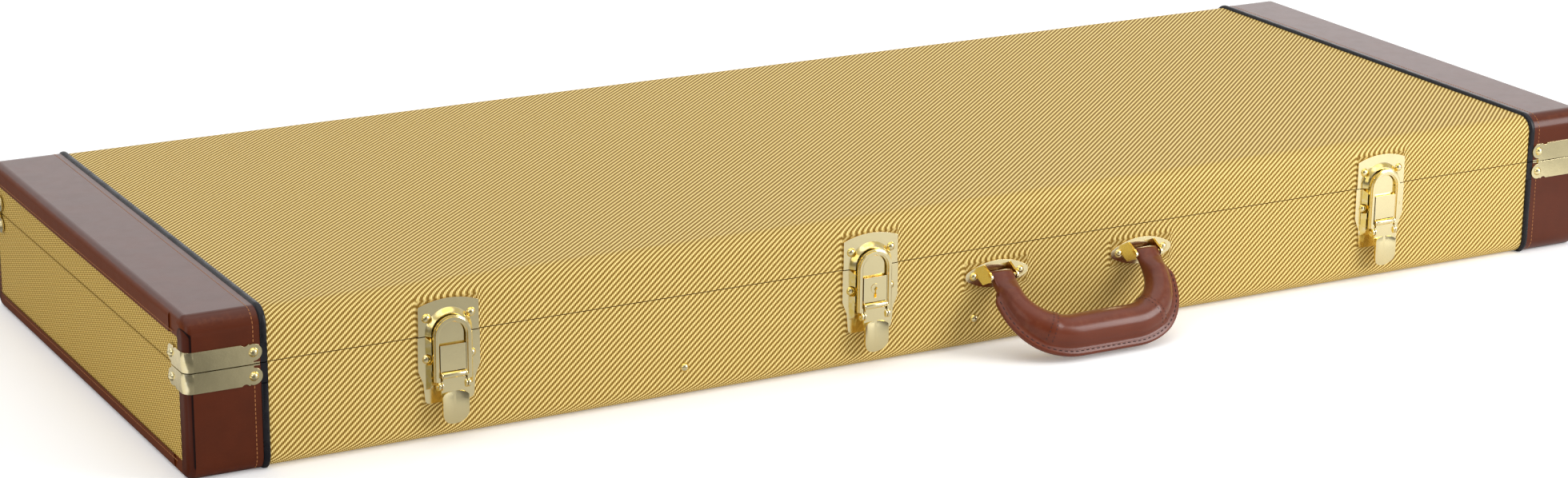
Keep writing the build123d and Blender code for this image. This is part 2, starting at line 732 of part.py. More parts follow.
lever_pivot_z = SEAM_HEIGHT - LEVER_PIVOT_DROP
bed_depth = LATCH_SHEET + BED_HEIGHT
housing_depth = bed_depth + HOUSING_HEIGHT
lever_pivot_depth = housing_depth
hasp_pivot_z = lever_pivot_z - HASP_PIVOT_OFFSET
hasp_pivot_depth = lever_pivot_depth - HASP_PIVOT_INSET
tongue_depth = bed_depth + TONGUE_PROUD
hasp_back_depth = tongue_depth + HASP_CLEARANCE
hasp_arch_z = SEAM_HEIGHT + HASP_ARCH_RISE
barrel_half_width = HOUSING_HALF_WIDTH - CHEEK - LEVER_SIDE_CLEARANCE
pin_bore = LATCH_PIN_RADIUS + PIN_CLEARANCE
bed_floor_z = SEAM_HEIGHT - BED_DROP
housing_low_z = SEAM_HEIGHT - HOUSING_BOTTOM_DROP


def arched_outline(half_width, arch_z, low_z):
    """An upright outline with a half-round top."""
    with BuildSketch(Plane.XY) as outline:
        with BuildLine():
            Polyline(
                (-half_width, arch_z), (-half_width, low_z), (half_width, low_z), (half_width, arch_z)
            )
            ThreePointArc((half_width, arch_z), (0, arch_z + half_width), (-half_width, arch_z))
        make_face()
    return outline.sketch


def rivet_places(rise):
    """Where a latch plate's two rivets stand on it, at a height above or below the seam."""
    return [(side * LATCH_RIVET_X, SEAM_HEIGHT + rise) for side in (-1, 1)]


def latch_base(x, with_lock):
    """Base plate with its raised bed, housing and the cheeks that hold the lever's pin."""
    with BuildPart() as plate:
        with BuildSketch(front_plane(x)) as outline:
            with BuildLine():
                half_outline = [
                    (LATCH_HALF_WIDTH, base_top),
                    (LATCH_HALF_WIDTH, SEAM_HEIGHT - LATCH_SHOULDER_DROP),
                    (LATCH_NECK_HALF_WIDTH, SEAM_HEIGHT - LATCH_NECK_DROP),
                    (LATCH_FOOT_HALF_WIDTH, SEAM_HEIGHT - LATCH_PLATE_DROP),
                ]
                other_half = [(-px, pz) for px, pz in reversed(half_outline)]
                Polyline(*half_outline, *other_half, close=True)
            make_face()
            foot_corners, neck_corners, shoulder_corners, _ = outline.vertices().group_by(Axis.Y)
            fillet(foot_corners, LATCH_FOOT_ROUNDING)
            fillet(neck_corners + shoulder_corners, LATCH_SHOULDER_ROUNDING)
        extrude(amount=LATCH_SHEET)
        with BuildSketch(front_plane(x, LATCH_SHEET)):
            with Locations((0, bed_floor_z)):
                Rectangle(2 * BED_HALF_WIDTH, base_top - bed_floor_z, align=(Align.CENTER, Align.MIN))
        extrude(amount=BED_HEIGHT, taper=BED_SLOPE)
        with BuildSketch(front_plane(x, LATCH_SHEET)):
            with Locations((0, base_top)):
                Rectangle(
                    2 * (BED_HALF_WIDTH - BED_HEIGHT * math.tan(math.radians(BED_SLOPE))),
                    BED_HEIGHT * 2, align=(Align.CENTER, Align.MAX),
                )
        extrude(amount=BED_HEIGHT)
        with BuildSketch(front_plane(x, LATCH_SHEET)):
            with Locations((0, housing_low_z)):
                Rectangle(2 * BED_POCKET_HALF_WIDTH, BED_DROP, align=(Align.CENTER, Align.MAX))
            with Locations(*rivet_places(-LATCH_RIVET_DROP)):
                Circle(RIVET_RADIUS + RIVET_POCKET)
        extrude(amount=2 * BED_HEIGHT, mode=Mode.SUBTRACT)
        with BuildSketch(front_plane(x, LATCH_SHEET)):
            with Locations((0, housing_low_z)):
                Rectangle(
                    2 * HOUSING_HALF_WIDTH, HOUSING_BOTTOM_DROP - HOUSING_TOP_DROP,
                    align=(Align.CENTER, Align.MIN),
                )
        extrude(amount=housing_depth - LATCH_SHEET)
        for sign in (-1, 1):
            middle = HOUSING_HALF_WIDTH - CHEEK / 2
            with BuildSketch(side_plane(x + sign * middle, FRONT - LATCH_SHEET, lever_pivot_z)):
                with BuildLine():
                    tip = lever_pivot_depth - LATCH_SHEET
                    cheek_root = housing_low_z + CHEEK - lever_pivot_z
                    Line((0, -LEVER_BARREL_RADIUS), (tip, -LEVER_BARREL_RADIUS))
                    ThreePointArc(
                        (tip, -LEVER_BARREL_RADIUS),
                        (tip + LEVER_BARREL_RADIUS, 0),
                        (tip, LEVER_BARREL_RADIUS),
                    )
                    Polyline(
                        (tip, LEVER_BARREL_RADIUS), (tip, cheek_root), (0, cheek_root),
                        (0, -LEVER_BARREL_RADIUS),
                    )
                make_face()
                with Locations((tip, 0)):
                    Circle(LATCH_PIN_RADIUS, mode=Mode.SUBTRACT)
            extrude(amount=CHEEK / 2, both=True)
        if with_lock:
            lock_z = SEAM_HEIGHT - LOCK_DROP
            with BuildSketch(front_plane(x, housing_depth)):
                with Locations((0, lock_z)):
                    Circle(LOCK_PLUG_RADIUS + PIN_CLEARANCE)
                    Rectangle(KEY_SLOT_WIDTH, KEY_SLOT_DROP, align=(Align.CENTER, Align.MAX))
            extrude(amount=-LOCK_PLUG_DEPTH, mode=Mode.SUBTRACT)
    return plate


def latch_lever(x):
    """The lever: rolled barrel, folded cheeks with two stub pins, and a dished thumb piece."""
    plate_low = LEVER_BARREL_RADIUS + LEVER_SHOULDER_GAP
    stub_reach = HASP_OPENING_HALF_WIDTH + HASP_EAR + STUB_PROUD
    with BuildPart() as lever:
        with BuildSketch(side_plane(x, FRONT - lever_pivot_depth, lever_pivot_z)):
            Circle(LEVER_BARREL_RADIUS)
            Rectangle(LEVER_SHEET, SPOON_START, align=(Align.CENTER, Align.MAX))
            Circle(pin_bore, mode=Mode.SUBTRACT)
        extrude(amount=barrel_half_width, both=True)
        with BuildSketch(front_plane(x, lever_pivot_depth)):
            with Locations((0, lever_pivot_z - plate_low)):
                Rectangle(2 * LEVER_HALF_WIDTH, SPOON_START - plate_low, align=(Align.CENTER, Align.MAX))
        extrude(amount=LEVER_SHEET / 2, both=True)
        for sign in (-1, 1):
            cheek_x = x + sign * (LEVER_HALF_WIDTH - CHEEK / 2)
            with BuildSketch(side_plane(cheek_x, FRONT - hasp_pivot_depth, hasp_pivot_z)):
                Circle(HASP_EAR_RADIUS)
                Rectangle(HASP_PIVOT_INSET, 2 * HASP_EAR_RADIUS, align=(Align.MIN, Align.CENTER))
            extrude(amount=CHEEK / 2, both=True)
            stub_x = x + sign * (LEVER_HALF_WIDTH + stub_reach) / 2
            with BuildSketch(side_plane(stub_x, FRONT - hasp_pivot_depth, hasp_pivot_z)):
                Circle(LATCH_PIN_RADIUS)
            extrude(amount=(stub_reach - LEVER_HALF_WIDTH) / 2 + CHEEK / 2, both=True)
    with BuildPart() as spoon:
        dish_middle = lever_pivot_depth - LEVER_SHEET / 2 + SPOON_DISH_RADIUS
        with BuildSketch(Plane.XY.offset(lever_pivot_z - LEVER_LENGTH)):
            with Locations((x, FRONT - dish_middle)):
                Circle(SPOON_DISH_RADIUS)
                Circle(SPOON_DISH_RADIUS - LEVER_SHEET, mode=Mode.SUBTRACT)
        extrude(amount=LEVER_LENGTH - SPOON_START + SPOON_HALF_WIDTH / 2)
        with BuildSketch(front_plane(x)):
            with Locations((0, lever_pivot_z - LEVER_LENGTH + SPOON_HALF_WIDTH)):
                Circle(SPOON_HALF_WIDTH)
                Rectangle(
                    2 * SPOON_HALF_WIDTH,
                    LEVER_LENGTH - SPOON_HALF_WIDTH - SPOON_START - SPOON_SHOULDER,
                    align=(Align.CENTER, Align.MIN),
                )
            with Locations((0, lever_pivot_z - SPOON_START - SPOON_SHOULDER)):
                Ellipse(SPOON_HALF_WIDTH, SPOON_HALF_WIDTH / 3)
        extrude(amount=lever_pivot_depth + SPOON_DISH_RADIUS / 2, mode=Mode.INTERSECT)
    with BuildPart() as whole:
        add(lever.part)
        add(spoon.part)
    return whole


def hasp_outline(inset):
    """Half-width and arch radius of the hasp's outer edge, moved inwards by `inset`."""
    return HASP_HALF_WIDTH - inset, HASP_OPENING_HALF_WIDTH + inset


def latch_hasp(x):
    """The hasp: an arched frame with a raised bead, and two ears that turn on the lever."""
    leg_low = hasp_pivot_z + HASP_EAR_RADIUS
    with BuildPart() as hasp:
        for depth, thickness, inset in (
            (hasp_back_depth, HASP_THICKNESS, 0),
            (hasp_back_depth + HASP_THICKNESS, HASP_BEAD, HASP_BEAD_INSET),
        ):
            outer, inner = hasp_outline(inset)
            with BuildSketch(front_plane(x, depth)):
                with Locations((0, hasp_arch_z)):
                    Circle(outer)
                    Rectangle(2 * outer, hasp_arch_z - leg_low, align=(Align.CENTER, Align.MAX))
                    Circle(inner, mode=Mode.SUBTRACT)
                    Rectangle(
                        2 * inner, hasp_arch_z, align=(Align.CENTER, Align.MAX), mode=Mode.SUBTRACT
                    )
            extrude(amount=thickness)
        for sign in (-1, 1):
            ear_x = x + sign * (HASP_OPENING_HALF_WIDTH + HASP_EAR / 2)
            with BuildSketch(side_plane(ear_x, FRONT - hasp_pivot_depth, hasp_pivot_z)):
                Circle(HASP_EAR_RADIUS)
                back = hasp_back_depth - hasp_pivot_depth
                with Locations((back, 0)):
                    Rectangle(
                        HASP_THICKNESS + HASP_BEAD, 2 * HASP_EAR_RADIUS, align=(Align.MIN, Align.MIN)
                    )
                Circle(pin_bore, mode=Mode.SUBTRACT)
            extrude(amount=HASP_EAR / 2, both=True)
    return hasp


def latch_strike(x):
    """Strike plate on the lid, with its raised arched bed and the tongue that the hasp closes over."""
    bed_centre_z = SEAM_HEIGHT + STRIKE_BED_CENTRE_RISE
    with BuildPart() as strike:
        with BuildSketch(front_plane(x)):
            with BuildLine():
                shoulder_z = SEAM_HEIGHT + STRIKE_SHOULDER_RISE
                Line((STRIKE_HALF_WIDTH, lid_bottom), (STRIKE_HALF_WIDTH, shoulder_z))
                ThreePointArc(
                    (STRIKE_HALF_WIDTH, shoulder_z),
                    (0, SEAM_HEIGHT + STRIKE_TOP_RISE),
                    (-STRIKE_HALF_WIDTH, shoulder_z),
                )
                Line((-STRIKE_HALF_WIDTH, shoulder_z), (-STRIKE_HALF_WIDTH, lid_bottom))
                Line((-STRIKE_HALF_WIDTH, lid_bottom), (STRIKE_HALF_WIDTH, lid_bottom))
            make_face()
        extrude(amount=LATCH_SHEET)
        with BuildSketch(front_plane(x, LATCH_SHEET)):
            with Locations((0, bed_centre_z)):
                Circle(BED_HALF_WIDTH)
        extrude(amount=BED_HEIGHT, taper=BED_SLOPE)
        with BuildSketch(front_plane(x, LATCH_SHEET)):
            with Locations((0, bed_centre_z)):
                Rectangle(4 * BED_HALF_WIDTH, 2 * BED_HALF_WIDTH, align=(Align.CENTER, Align.MAX))
        extrude(amount=2 * BED_HEIGHT, mode=Mode.SUBTRACT)
        with BuildSketch(Plane.XY.offset(lid_bottom)):
            with BuildLine():
                bed_top_half = BED_HALF_WIDTH - BED_HEIGHT * math.tan(math.radians(BED_SLOPE))
                y_low = FRONT - LATCH_SHEET
                y_high = FRONT - bed_depth
                Polyline(
                    (x - BED_HALF_WIDTH, y_low), (x - bed_top_half, y_high),
                    (x + bed_top_half, y_high), (x + BED_HALF_WIDTH, y_low),
                    close=True,
                )
            make_face()
        extrude(amount=bed_centre_z - lid_bottom)
        with BuildSketch(front_plane(x, LATCH_SHEET)):
            with Locations(*rivet_places(STRIKE_RIVET_RISE)):
                Circle(RIVET_RADIUS + RIVET_POCKET)
        extrude(amount=2 * BED_HEIGHT, mode=Mode.SUBTRACT)
        with BuildSketch(front_plane(x, bed_depth)):
            add(arched_outline(TONGUE_HALF_WIDTH, hasp_arch_z, SEAM_HEIGHT - TONGUE_DROP))
        extrude(amount=TONGUE_PROUD)
        with BuildSketch(front_plane(x, bed_depth)):
            with Locations((0, lid_bottom)):
                Rectangle(4 * TONGUE_HALF_WIDTH, 4 * TONGUE_DROP, align=(Align.CENTER, Align.MAX))
        extrude(amount=HASP_CLEARANCE, mode=Mode.SUBTRACT)
    return strike


for name, x in latch_positions.items():
    keep(latch_base(x, name == "centre"), f"{name}_latch_base")
    keep(latch_lever(x), f"{name}_latch_lever")
    keep(latch_hasp(x), f"{name}_latch_hasp")
    keep(latch_strike(x), f"{name}_latch_strike")

with BuildPart() as lever_pins:
    for x in latch_positions.values():
        with BuildSketch(side_plane(x, FRONT - lever_pivot_depth, lever_pivot_z)):
            Circle(LATCH_PIN_RADIUS)
        extrude(amount=HOUSING_HALF_WIDTH, both=True)
keep(lever_pins, "latch_lever_pins")

with BuildPart() as lock_plug:
    lock_centre = (0, SEAM_HEIGHT - LOCK_DROP)
    plug_length = LOCK_PLUG_DEPTH - PIN_CLEARANCE + LOCK_PLUG_PROUD
    with BuildSketch(front_plane(latch_positions["centre"], housing_depth + LOCK_PLUG_PROUD)):
        with Locations(lock_centre):
            Circle(LOCK_PLUG_RADIUS)
    extrude(amount=-plug_length)
    with BuildSketch(front_plane(latch_positions["centre"], housing_depth + LOCK_PLUG_PROUD)):
        with Locations(lock_centre):
            Circle(KEY_HOLE_RADIUS)
            Rectangle(KEY_SLOT_WIDTH / 2, KEY_SLOT_DROP, align=(Align.CENTER, Align.MAX))
    extrude(amount=-LOCK_PLUG_DEPTH / 2, mode=Mode.SUBTRACT)
keep(lock_plug, "lock_plug")


def latch_rivet_planes(rise):
    """The seats of the rivets of all three latches, at a height above or below the seam."""
    return [
        Plane(origin=(x + offset, FRONT - LATCH_SHEET, z), z_dir=(0, -1, 0))
        for x in latch_positions.values() for offset, z in rivet_places(rise)
    ]


# Handle brackets and the leather handle

bar_y = FRONT - HANDLE_PIVOT_DEPTH
bracket_gap = EYE_WIDTH / 2 + EYE_SIDE_CLEARANCE
for name, sign in (("left_handle_bracket", -1), ("right_handle_bracket", 1)):
    x = HANDLE_X + sign * HANDLE_SPAN / 2
    with BuildPart() as bracket:
        with BuildSketch(front_plane(x)) as plate_face:
            with BuildLine():
                left_tip = (-BRACKET_HALF_LENGTH, HANDLE_PIVOT_HEIGHT)
                right_tip = (BRACKET_HALF_LENGTH, HANDLE_PIVOT_HEIGHT)
                for edge in (-BRACKET_HALF_HEIGHT, BRACKET_HALF_HEIGHT):
                    ThreePointArc(left_tip, (0, HANDLE_PIVOT_HEIGHT + edge), right_tip)
            make_face()
            fillet(plate_face.vertices(), BRACKET_TIP_RADIUS)
        extrude(amount=BRACKET_SHEET)
        for cheek_sign in (-1, 1):
            cheek_x = x + cheek_sign * (bracket_gap + BRACKET_CHEEK / 2)
            with BuildSketch(side_plane(cheek_x, FRONT, HANDLE_PIVOT_HEIGHT)):
                with BuildLine():
                    Polyline(
                        (0, -BRACKET_FOOT_HALF_HEIGHT),
                        (HANDLE_PIVOT_DEPTH, -BRACKET_BOSS_RADIUS),
                        (HANDLE_PIVOT_DEPTH, BRACKET_BOSS_RADIUS),
                        (0, BRACKET_FOOT_HALF_HEIGHT),
                        close=True,
                    )
                make_face()
                with Locations((HANDLE_PIVOT_DEPTH, 0)):
                    Circle(BRACKET_BOSS_RADIUS)
            extrude(amount=BRACKET_CHEEK / 2, both=True)
        with BuildSketch(side_plane(x, bar_y, HANDLE_PIVOT_HEIGHT)):
            Circle(BAR_RADIUS)
        extrude(amount=bracket_gap + BRACKET_CHEEK / 2, both=True)
    keep(bracket, name)

tilt = math.radians(HANDLE_TILT)
handle_plane = Plane(
    origin=(HANDLE_X, bar_y, HANDLE_PIVOT_HEIGHT),
    x_dir=(1, 0, 0),
    z_dir=(0, -math.cos(tilt), math.sin(tilt)),
)
leg_x = HANDLE_SPAN / 2


def grip_section(path, share, radius, flange_reach):
    """The tube and its flange, on the outer side of the bent path, at a share of its length."""
    along = path % share
    outward = along.cross(handle_plane.z_dir)
    with BuildSketch(Plane(origin=path @ share, x_dir=outward, z_dir=along)) as section:
        Circle(radius)
        Rectangle(flange_reach, GRIP_FLANGE, align=(Align.MIN, Align.CENTER))
    return section.sketch


with BuildPart() as handle:
    with BuildLine(handle_plane) as grip_line:
        FilletPolyline(
            (-leg_x, -GRIP_END_REACH), (-leg_x, -GRIP_REACH), (leg_x, -GRIP_REACH),
            (leg_x, -GRIP_END_REACH),
            radius=GRIP_BEND_RADIUS,
        )
    grip_path = grip_line.wire()
    seam_share = 0.5 - GRIP_SEAM_POSITION / grip_path.length
    grip_sections = [
        grip_section(grip_path, 0, GRIP_END_RADIUS, GRIP_END_FLANGE_REACH),
        grip_section(grip_path, seam_share, GRIP_RADIUS, GRIP_FLANGE_REACH),
        grip_section(grip_path, 1 - seam_share, GRIP_RADIUS, GRIP_FLANGE_REACH),
        grip_section(grip_path, 1, GRIP_END_RADIUS, GRIP_END_FLANGE_REACH),
    ]
    sweep(sections=grip_sections, path=grip_path, multisection=True)
    for sign, share in ((-1, seam_share), (1, 1 - seam_share)):
        with BuildSketch(Plane(origin=grip_path @ share, z_dir=grip_path % share)):
            Circle(GRIP_RADIUS + GRIP_SEAM_BAND)
        extrude(amount=GRIP_SEAM_LENGTH / 2, both=True)
        end_plane, neck_plane, root_plane = [
            Plane(
                origin=handle_plane.from_local_coords(Vector(sign * leg_x, -reach, 0)),
                x_dir=(1, 0, 0),
                z_dir=handle_plane.y_dir,
            )
            for reach in (GRIP_END_REACH, GRIP_NECK_REACH, EYE_ROOT_REACH)
        ]
        with BuildSketch(end_plane):
            Circle(GRIP_END_RADIUS)
        with BuildSketch(neck_plane):
            Ellipse(EYE_WIDTH / 2, GRIP_NECK_HALF_HEIGHT)
        with BuildSketch(root_plane):
            Ellipse(EYE_WIDTH / 2, EYE_ROOT_HALF_HEIGHT)
        loft(ruled=True)
        with BuildSketch(side_plane(HANDLE_X + sign * leg_x, bar_y, HANDLE_PIVOT_HEIGHT)):
            Circle(EYE_RADIUS)
        extrude(amount=EYE_WIDTH / 2, both=True)
    with BuildSketch(side_plane(HANDLE_X, bar_y, HANDLE_PIVOT_HEIGHT)):
        Circle(BAR_RADIUS + BAR_CLEARANCE)
    extrude(amount=HANDLE_SPAN, both=True, mode=Mode.SUBTRACT)
keep(handle, "handle_grip")


# Rivets of every fitting, and the glides on the back

bracket_planes = [
    Plane(
        origin=(HANDLE_X + side * HANDLE_SPAN / 2 + end * BRACKET_RIVET_X, FRONT - BRACKET_SHEET,
                HANDLE_PIVOT_HEIGHT),
        z_dir=(0, -1, 0),
    )
    for side in (-1, 1) for end in (-1, 1)
]
compartment_planes = [
    Plane(origin=(x, FRONT, COMPARTMENT_RIVET_HEIGHT), z_dir=(0, -1, 0))
    for x in (compartment_left, compartment_right)
]
riveted("base_rivets", [
    *clamp_rivet_planes("base"), *hinge_rivet_planes(-1), *latch_rivet_planes(-LATCH_RIVET_DROP),
    *bracket_planes, *compartment_planes,
])
riveted("lid_rivets", [
    *clamp_rivet_planes("lid"), *hinge_rivet_planes(1), *latch_rivet_planes(STRIKE_RIVET_RISE),
])

glide = domed_disc(GLIDE_RADIUS, GLIDE_HEIGHT, GLIDE_RIM)
with BuildPart() as glides:
    with Locations(*[
        Plane(origin=(x, BACK, z), z_dir=(0, 1, 0))
        for x in (GLIDE_INSET - case_end, case_end - GLIDE_INSET) for z in GLIDE_HEIGHTS
    ]):
        add(glide)
keep(glides, "back_glides")
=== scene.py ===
"""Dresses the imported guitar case: tweed, leather ends, brass fittings, stitching and lining.

Metres, in the frame of the CAD: the case lies on z = 0 and its latches face -Y. Sizes of
finishes and of sewn pieces are in millimetres, because the patterns are laid out in them.
"""
import json
import logging
import math
from collections.abc import Callable, Iterable, Mapping, Sequence
from dataclasses import dataclass, field
from enum import Enum

import bmesh
import bpy
from mathutils import Matrix, Vector, noise


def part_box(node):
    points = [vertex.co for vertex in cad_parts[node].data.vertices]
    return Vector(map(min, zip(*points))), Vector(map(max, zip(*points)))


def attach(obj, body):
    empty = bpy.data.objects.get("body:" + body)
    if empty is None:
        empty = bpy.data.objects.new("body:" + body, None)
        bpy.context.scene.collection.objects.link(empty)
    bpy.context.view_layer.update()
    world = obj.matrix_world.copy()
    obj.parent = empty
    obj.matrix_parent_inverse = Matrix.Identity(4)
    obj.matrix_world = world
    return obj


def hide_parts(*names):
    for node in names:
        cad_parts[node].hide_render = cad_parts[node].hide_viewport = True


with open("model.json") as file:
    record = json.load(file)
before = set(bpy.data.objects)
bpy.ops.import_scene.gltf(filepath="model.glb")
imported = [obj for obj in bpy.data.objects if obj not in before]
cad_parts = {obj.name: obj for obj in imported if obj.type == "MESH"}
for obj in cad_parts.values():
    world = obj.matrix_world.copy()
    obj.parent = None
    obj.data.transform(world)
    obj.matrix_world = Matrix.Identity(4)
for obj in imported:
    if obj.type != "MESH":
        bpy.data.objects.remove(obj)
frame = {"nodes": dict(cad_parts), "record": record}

MM = 0.001
CASE_HEIGHT = 98.0
SEAM_HEIGHT = 66.5
FRONT = -187.5

Socket = bpy.types.NodeSocket
Outputs = bpy.types.NodeOutputs
Shape = bmesh.types.BMesh
Range = tuple[float, float]
Point = tuple[float, float, float]
Colour = tuple[float, float, float, float]
Feed = float | Sequence[float] | Socket
Region = tuple[Point, Point]
Station = tuple[Vector, Vector, float, float]

ORIGIN: Point = (0, 0, 0)

log = logging.getLogger("guitar_case")


class Body(Enum):
    """The moving bodies that new pieces ride on."""

    BASE = "base"
    LID = "lid"
    HANDLE = "handle"
    COVER = "compartment_cover"


class Half(Enum):
    """The two shells of the case."""

    BASE = "base"
    LID = "lid"


class Side(Enum):
    """The two ends of the case."""

    LEFT = "left"
    RIGHT = "right"


class Show(Enum):
    """Which way a flat pad shows."""

    UP = 1
    DOWN = -1
    BOTH = 0


# Shader node groups


class Graph:
    """Adds nodes to one node tree and links them as they are made."""

    def __init__(self, tree: bpy.types.NodeTree) -> None:
        """Keep the tree that the nodes go into."""
        self.tree = tree

    def node(
        self, kind: str, feeds: Mapping[str | int, Feed] | None = None, **settings: object
    ) -> bpy.types.Node:
        """Add one node.

        Args:
            kind: Blender's name for the node's type.
            feeds: Values or sockets for its inputs, by name or number.
            settings: The node's own properties.

        Returns:
            The new node.
        """
        made = self.tree.nodes.new(kind)
        for name, value in settings.items():
            setattr(made, name, value)
        for key, value in (feeds or {}).items():
            self.feed(made.inputs[key], value)
        return made

    def feed(self, socket: Socket, value: Feed) -> None:
        """Link or set one input.

        Args:
            socket: The input.
            value: A socket to link, or a plain value.
        """
        if isinstance(value, Socket):
            self.tree.links.new(value, socket)
        else:
            socket.default_value = value

    def maths(self, operation: str, *values: Feed) -> Socket:
        """Work out one number."""
        return self.node("ShaderNodeMath", dict(enumerate(values)), operation=operation).outputs[0]

    def times(self, first: Feed, second: Feed) -> Socket:
        """Multiply two numbers."""
        return self.maths("MULTIPLY", first, second)

    def less(self, first: Feed, second: Feed) -> Socket:
        """Take the second number from the first."""
        return self.maths("SUBTRACT", first, second)

    def linear(self, value: Feed, slope: Feed, start: Feed) -> Socket:
        """Multiply a number by a slope and add a start."""
        return self.maths("MULTIPLY_ADD", value, slope, start)

    def vector(self, operation: str, *values: Feed) -> Socket:
        """Work out one vector, or the number that the operation gives."""
        made = self.node("ShaderNodeVectorMath", dict(enumerate(values)), operation=operation)
        return made.outputs["Value" if operation in {"LENGTH", "DOT_PRODUCT"} else "Vector"]

    def scaled(self, vector: Feed, factor: Feed) -> Socket:
        """Scale a vector."""
        feeds = {0: vector, "Scale": factor}
        return self.node("ShaderNodeVectorMath", feeds, operation="SCALE").outputs["Vector"]

    def parts(self, vector: Feed) -> Outputs:
        """Take a vector apart."""
        return self.node("ShaderNodeSeparateXYZ", {0: vector}).outputs

    def joined(self, *values: Feed) -> Socket:
        """Make a vector of up to three numbers."""
        return self.node("ShaderNodeCombineXYZ", dict(enumerate(values))).outputs[0]

    def span(
        self, value: Feed, low: Feed, high: Feed, to_low: Feed = 0.0, to_high: Feed = 1.0
    ) -> Socket:
        """Map the range from low to high smoothly on to another one."""
        feeds = {0: value, 1: low, 2: high, 3: to_low, 4: to_high}
        return self.node("ShaderNodeMapRange", feeds, interpolation_type="SMOOTHSTEP").outputs[0]

    def mix(self, share: Feed, first: Feed, second: Feed, blend: str = "MIX") -> Socket:
        """Mix two colours by the share of the second."""
        feeds = {0: share, 6: first, 7: second}
        return self.node("ShaderNodeMix", feeds, data_type="RGBA", blend_type=blend).outputs[2]

    def noise(
        self, place: Feed, scale: Feed, detail: float = 2.0, roughness: float = 0.5
    ) -> Socket:
        """Sample smooth noise, which lies about 0.5."""
        feeds = {"Vector": place, "Scale": scale, "Detail": detail, "Roughness": roughness}
        return self.node("ShaderNodeTexNoise", feeds).outputs[0]

    def ripple(self, phase: Feed) -> Socket:
        """A smooth wave from 0 to 1 with its crests at whole phases."""
        return self.linear(self.maths("COSINE", self.times(phase, 2 * math.pi)), 0.5, 0.5)

    def facing(self) -> Outputs:
        """How far the surface faces along each axis, either way."""
        normal = self.node("ShaderNodeTexCoord").outputs["Normal"]
        return self.parts(self.vector("ABSOLUTE", normal))

    def bump(self, height: Feed, depth_mm: float, strength: float) -> Socket:
        """Turn a height into a normal; a height of 1 stands for the depth."""
        feeds = {"Height": height, "Distance": depth_mm * MM, "Strength": strength}
        return self.node("ShaderNodeBump", feeds).outputs[0]


class Surface(Graph):
    """The graph of one material, with its shader and the place on the piece."""

    def __init__(self, material: bpy.types.Material) -> None:
        """Start from the material's own shader.

        Args:
            material: The new material.
        """
        material.use_nodes = True
        super().__init__(material.node_tree)
        self.shader = material.node_tree.nodes["Principled BSDF"]
        self.place = self.scaled(self.node("ShaderNodeTexCoord").outputs["Object"], 1 / MM)

    def shade(self, feeds: Mapping[str, Feed]) -> None:
        """Feed the shader's sockets, plain values straight into them."""
        for name, value in feeds.items():
            self.feed(self.shader.inputs[name], value)


class Effect:
    """A shader node group that several finishes place with their own values."""

    def __init__(self, name: str, takes: Mapping[str, float | Point], gives: Iterable[str]) -> None:
        """Make the group and its sockets.

        Args:
            name: The group's name.
            takes: Its inputs and their values, a point for an input that is a vector.
            gives: Its outputs, all plain masks and heights.
        """
        self.tree = bpy.data.node_groups.new(name, "ShaderNodeTree")
        sockets = self.tree.interface
        for label, value in takes.items():
            kind = "NodeSocketVector" if isinstance(value, tuple) else "NodeSocketFloat"
            made = sockets.new_socket(name=label, in_out="INPUT", socket_type=kind)
            made.default_value = value
        for label in gives:
            sockets.new_socket(name=label, in_out="OUTPUT", socket_type="NodeSocketFloat")
        self.graph = Graph(self.tree)
        self.inputs = self.tree.nodes.new("NodeGroupInput").outputs
        self.outputs = self.tree.nodes.new("NodeGroupOutput").inputs

    def give(self, name: str, value: Feed) -> None:
        """Feed one of the group's outputs."""
        self.graph.feed(self.outputs[name], value)

    def on(self, surface: Surface, **feeds: Feed) -> Outputs:
        """Put the group into a material.

        Args:
            surface: The material's graph.
            feeds: Values for the inputs, with underscores for spaces.

        Returns:
            The placed group's outputs.
        """
        made = surface.node("ShaderNodeGroup", node_tree=self.tree)
        if "Place" in made.inputs:
            surface.feed(made.inputs["Place"], surface.place)
        for name, value in feeds.items():
            surface.feed(made.inputs[name.replace("_", " ")], value)
        return made.outputs


def make_weave() -> Effect:
    """Diagonal rope-like stripes of cream thread, beaded along their length.

    Returns:
        The effect. Stripe and Bead are wave vectors in turns per millimetre.
    """
    effect = Effect("weave", {
        "Cloth": ORIGIN, "Stripe": (0.238, -0.262, 0), "Bead": (0.807, 0.2315, 0),
        "Fray": 0.3, "Dots": 0.4, "Gap": 0.25, "Full": 0.88,
    }, ("Thread", "Crown", "Height", "Tone"))
    graph, given = effect.graph, effect.inputs
    frayed = {"Vector": given["Cloth"], "Scale": 0.35, "Detail": 2.0}
    wander = graph.node("ShaderNodeTexNoise", frayed).outputs[1]
    shift = graph.scaled(graph.vector("SUBTRACT", wander, (0.5, 0.5, 0.5)), given["Fray"])
    cloth = graph.vector("ADD", given["Cloth"], shift)
    stripe = graph.ripple(graph.vector("DOT_PRODUCT", cloth, given["Stripe"]))
    bead = graph.ripple(graph.vector("DOT_PRODUCT", cloth, given["Bead"]))
    rope = graph.times(stripe, graph.linear(bead, 0.34, 0.66))
    hole = graph.times(graph.less(1.0, stripe), graph.less(1.0, bead))
    dotted = graph.less(graph.less(1.0, hole), rope)
    woven = graph.linear(dotted, given["Dots"], rope)
    effect.give("Thread", graph.span(woven, given["Gap"], given["Full"]))
    # Crown: where stripe and bead crest together; the tweed paints its highlight there.
    effect.give("Crown", graph.span(graph.times(stripe, bead), 0.25, 0.9))
    effect.give("Height", graph.maths("POWER", woven, 0.8))
    effect.give("Tone", graph.noise(given["Cloth"], 0.9, 3.0, 0.6))
    return effect


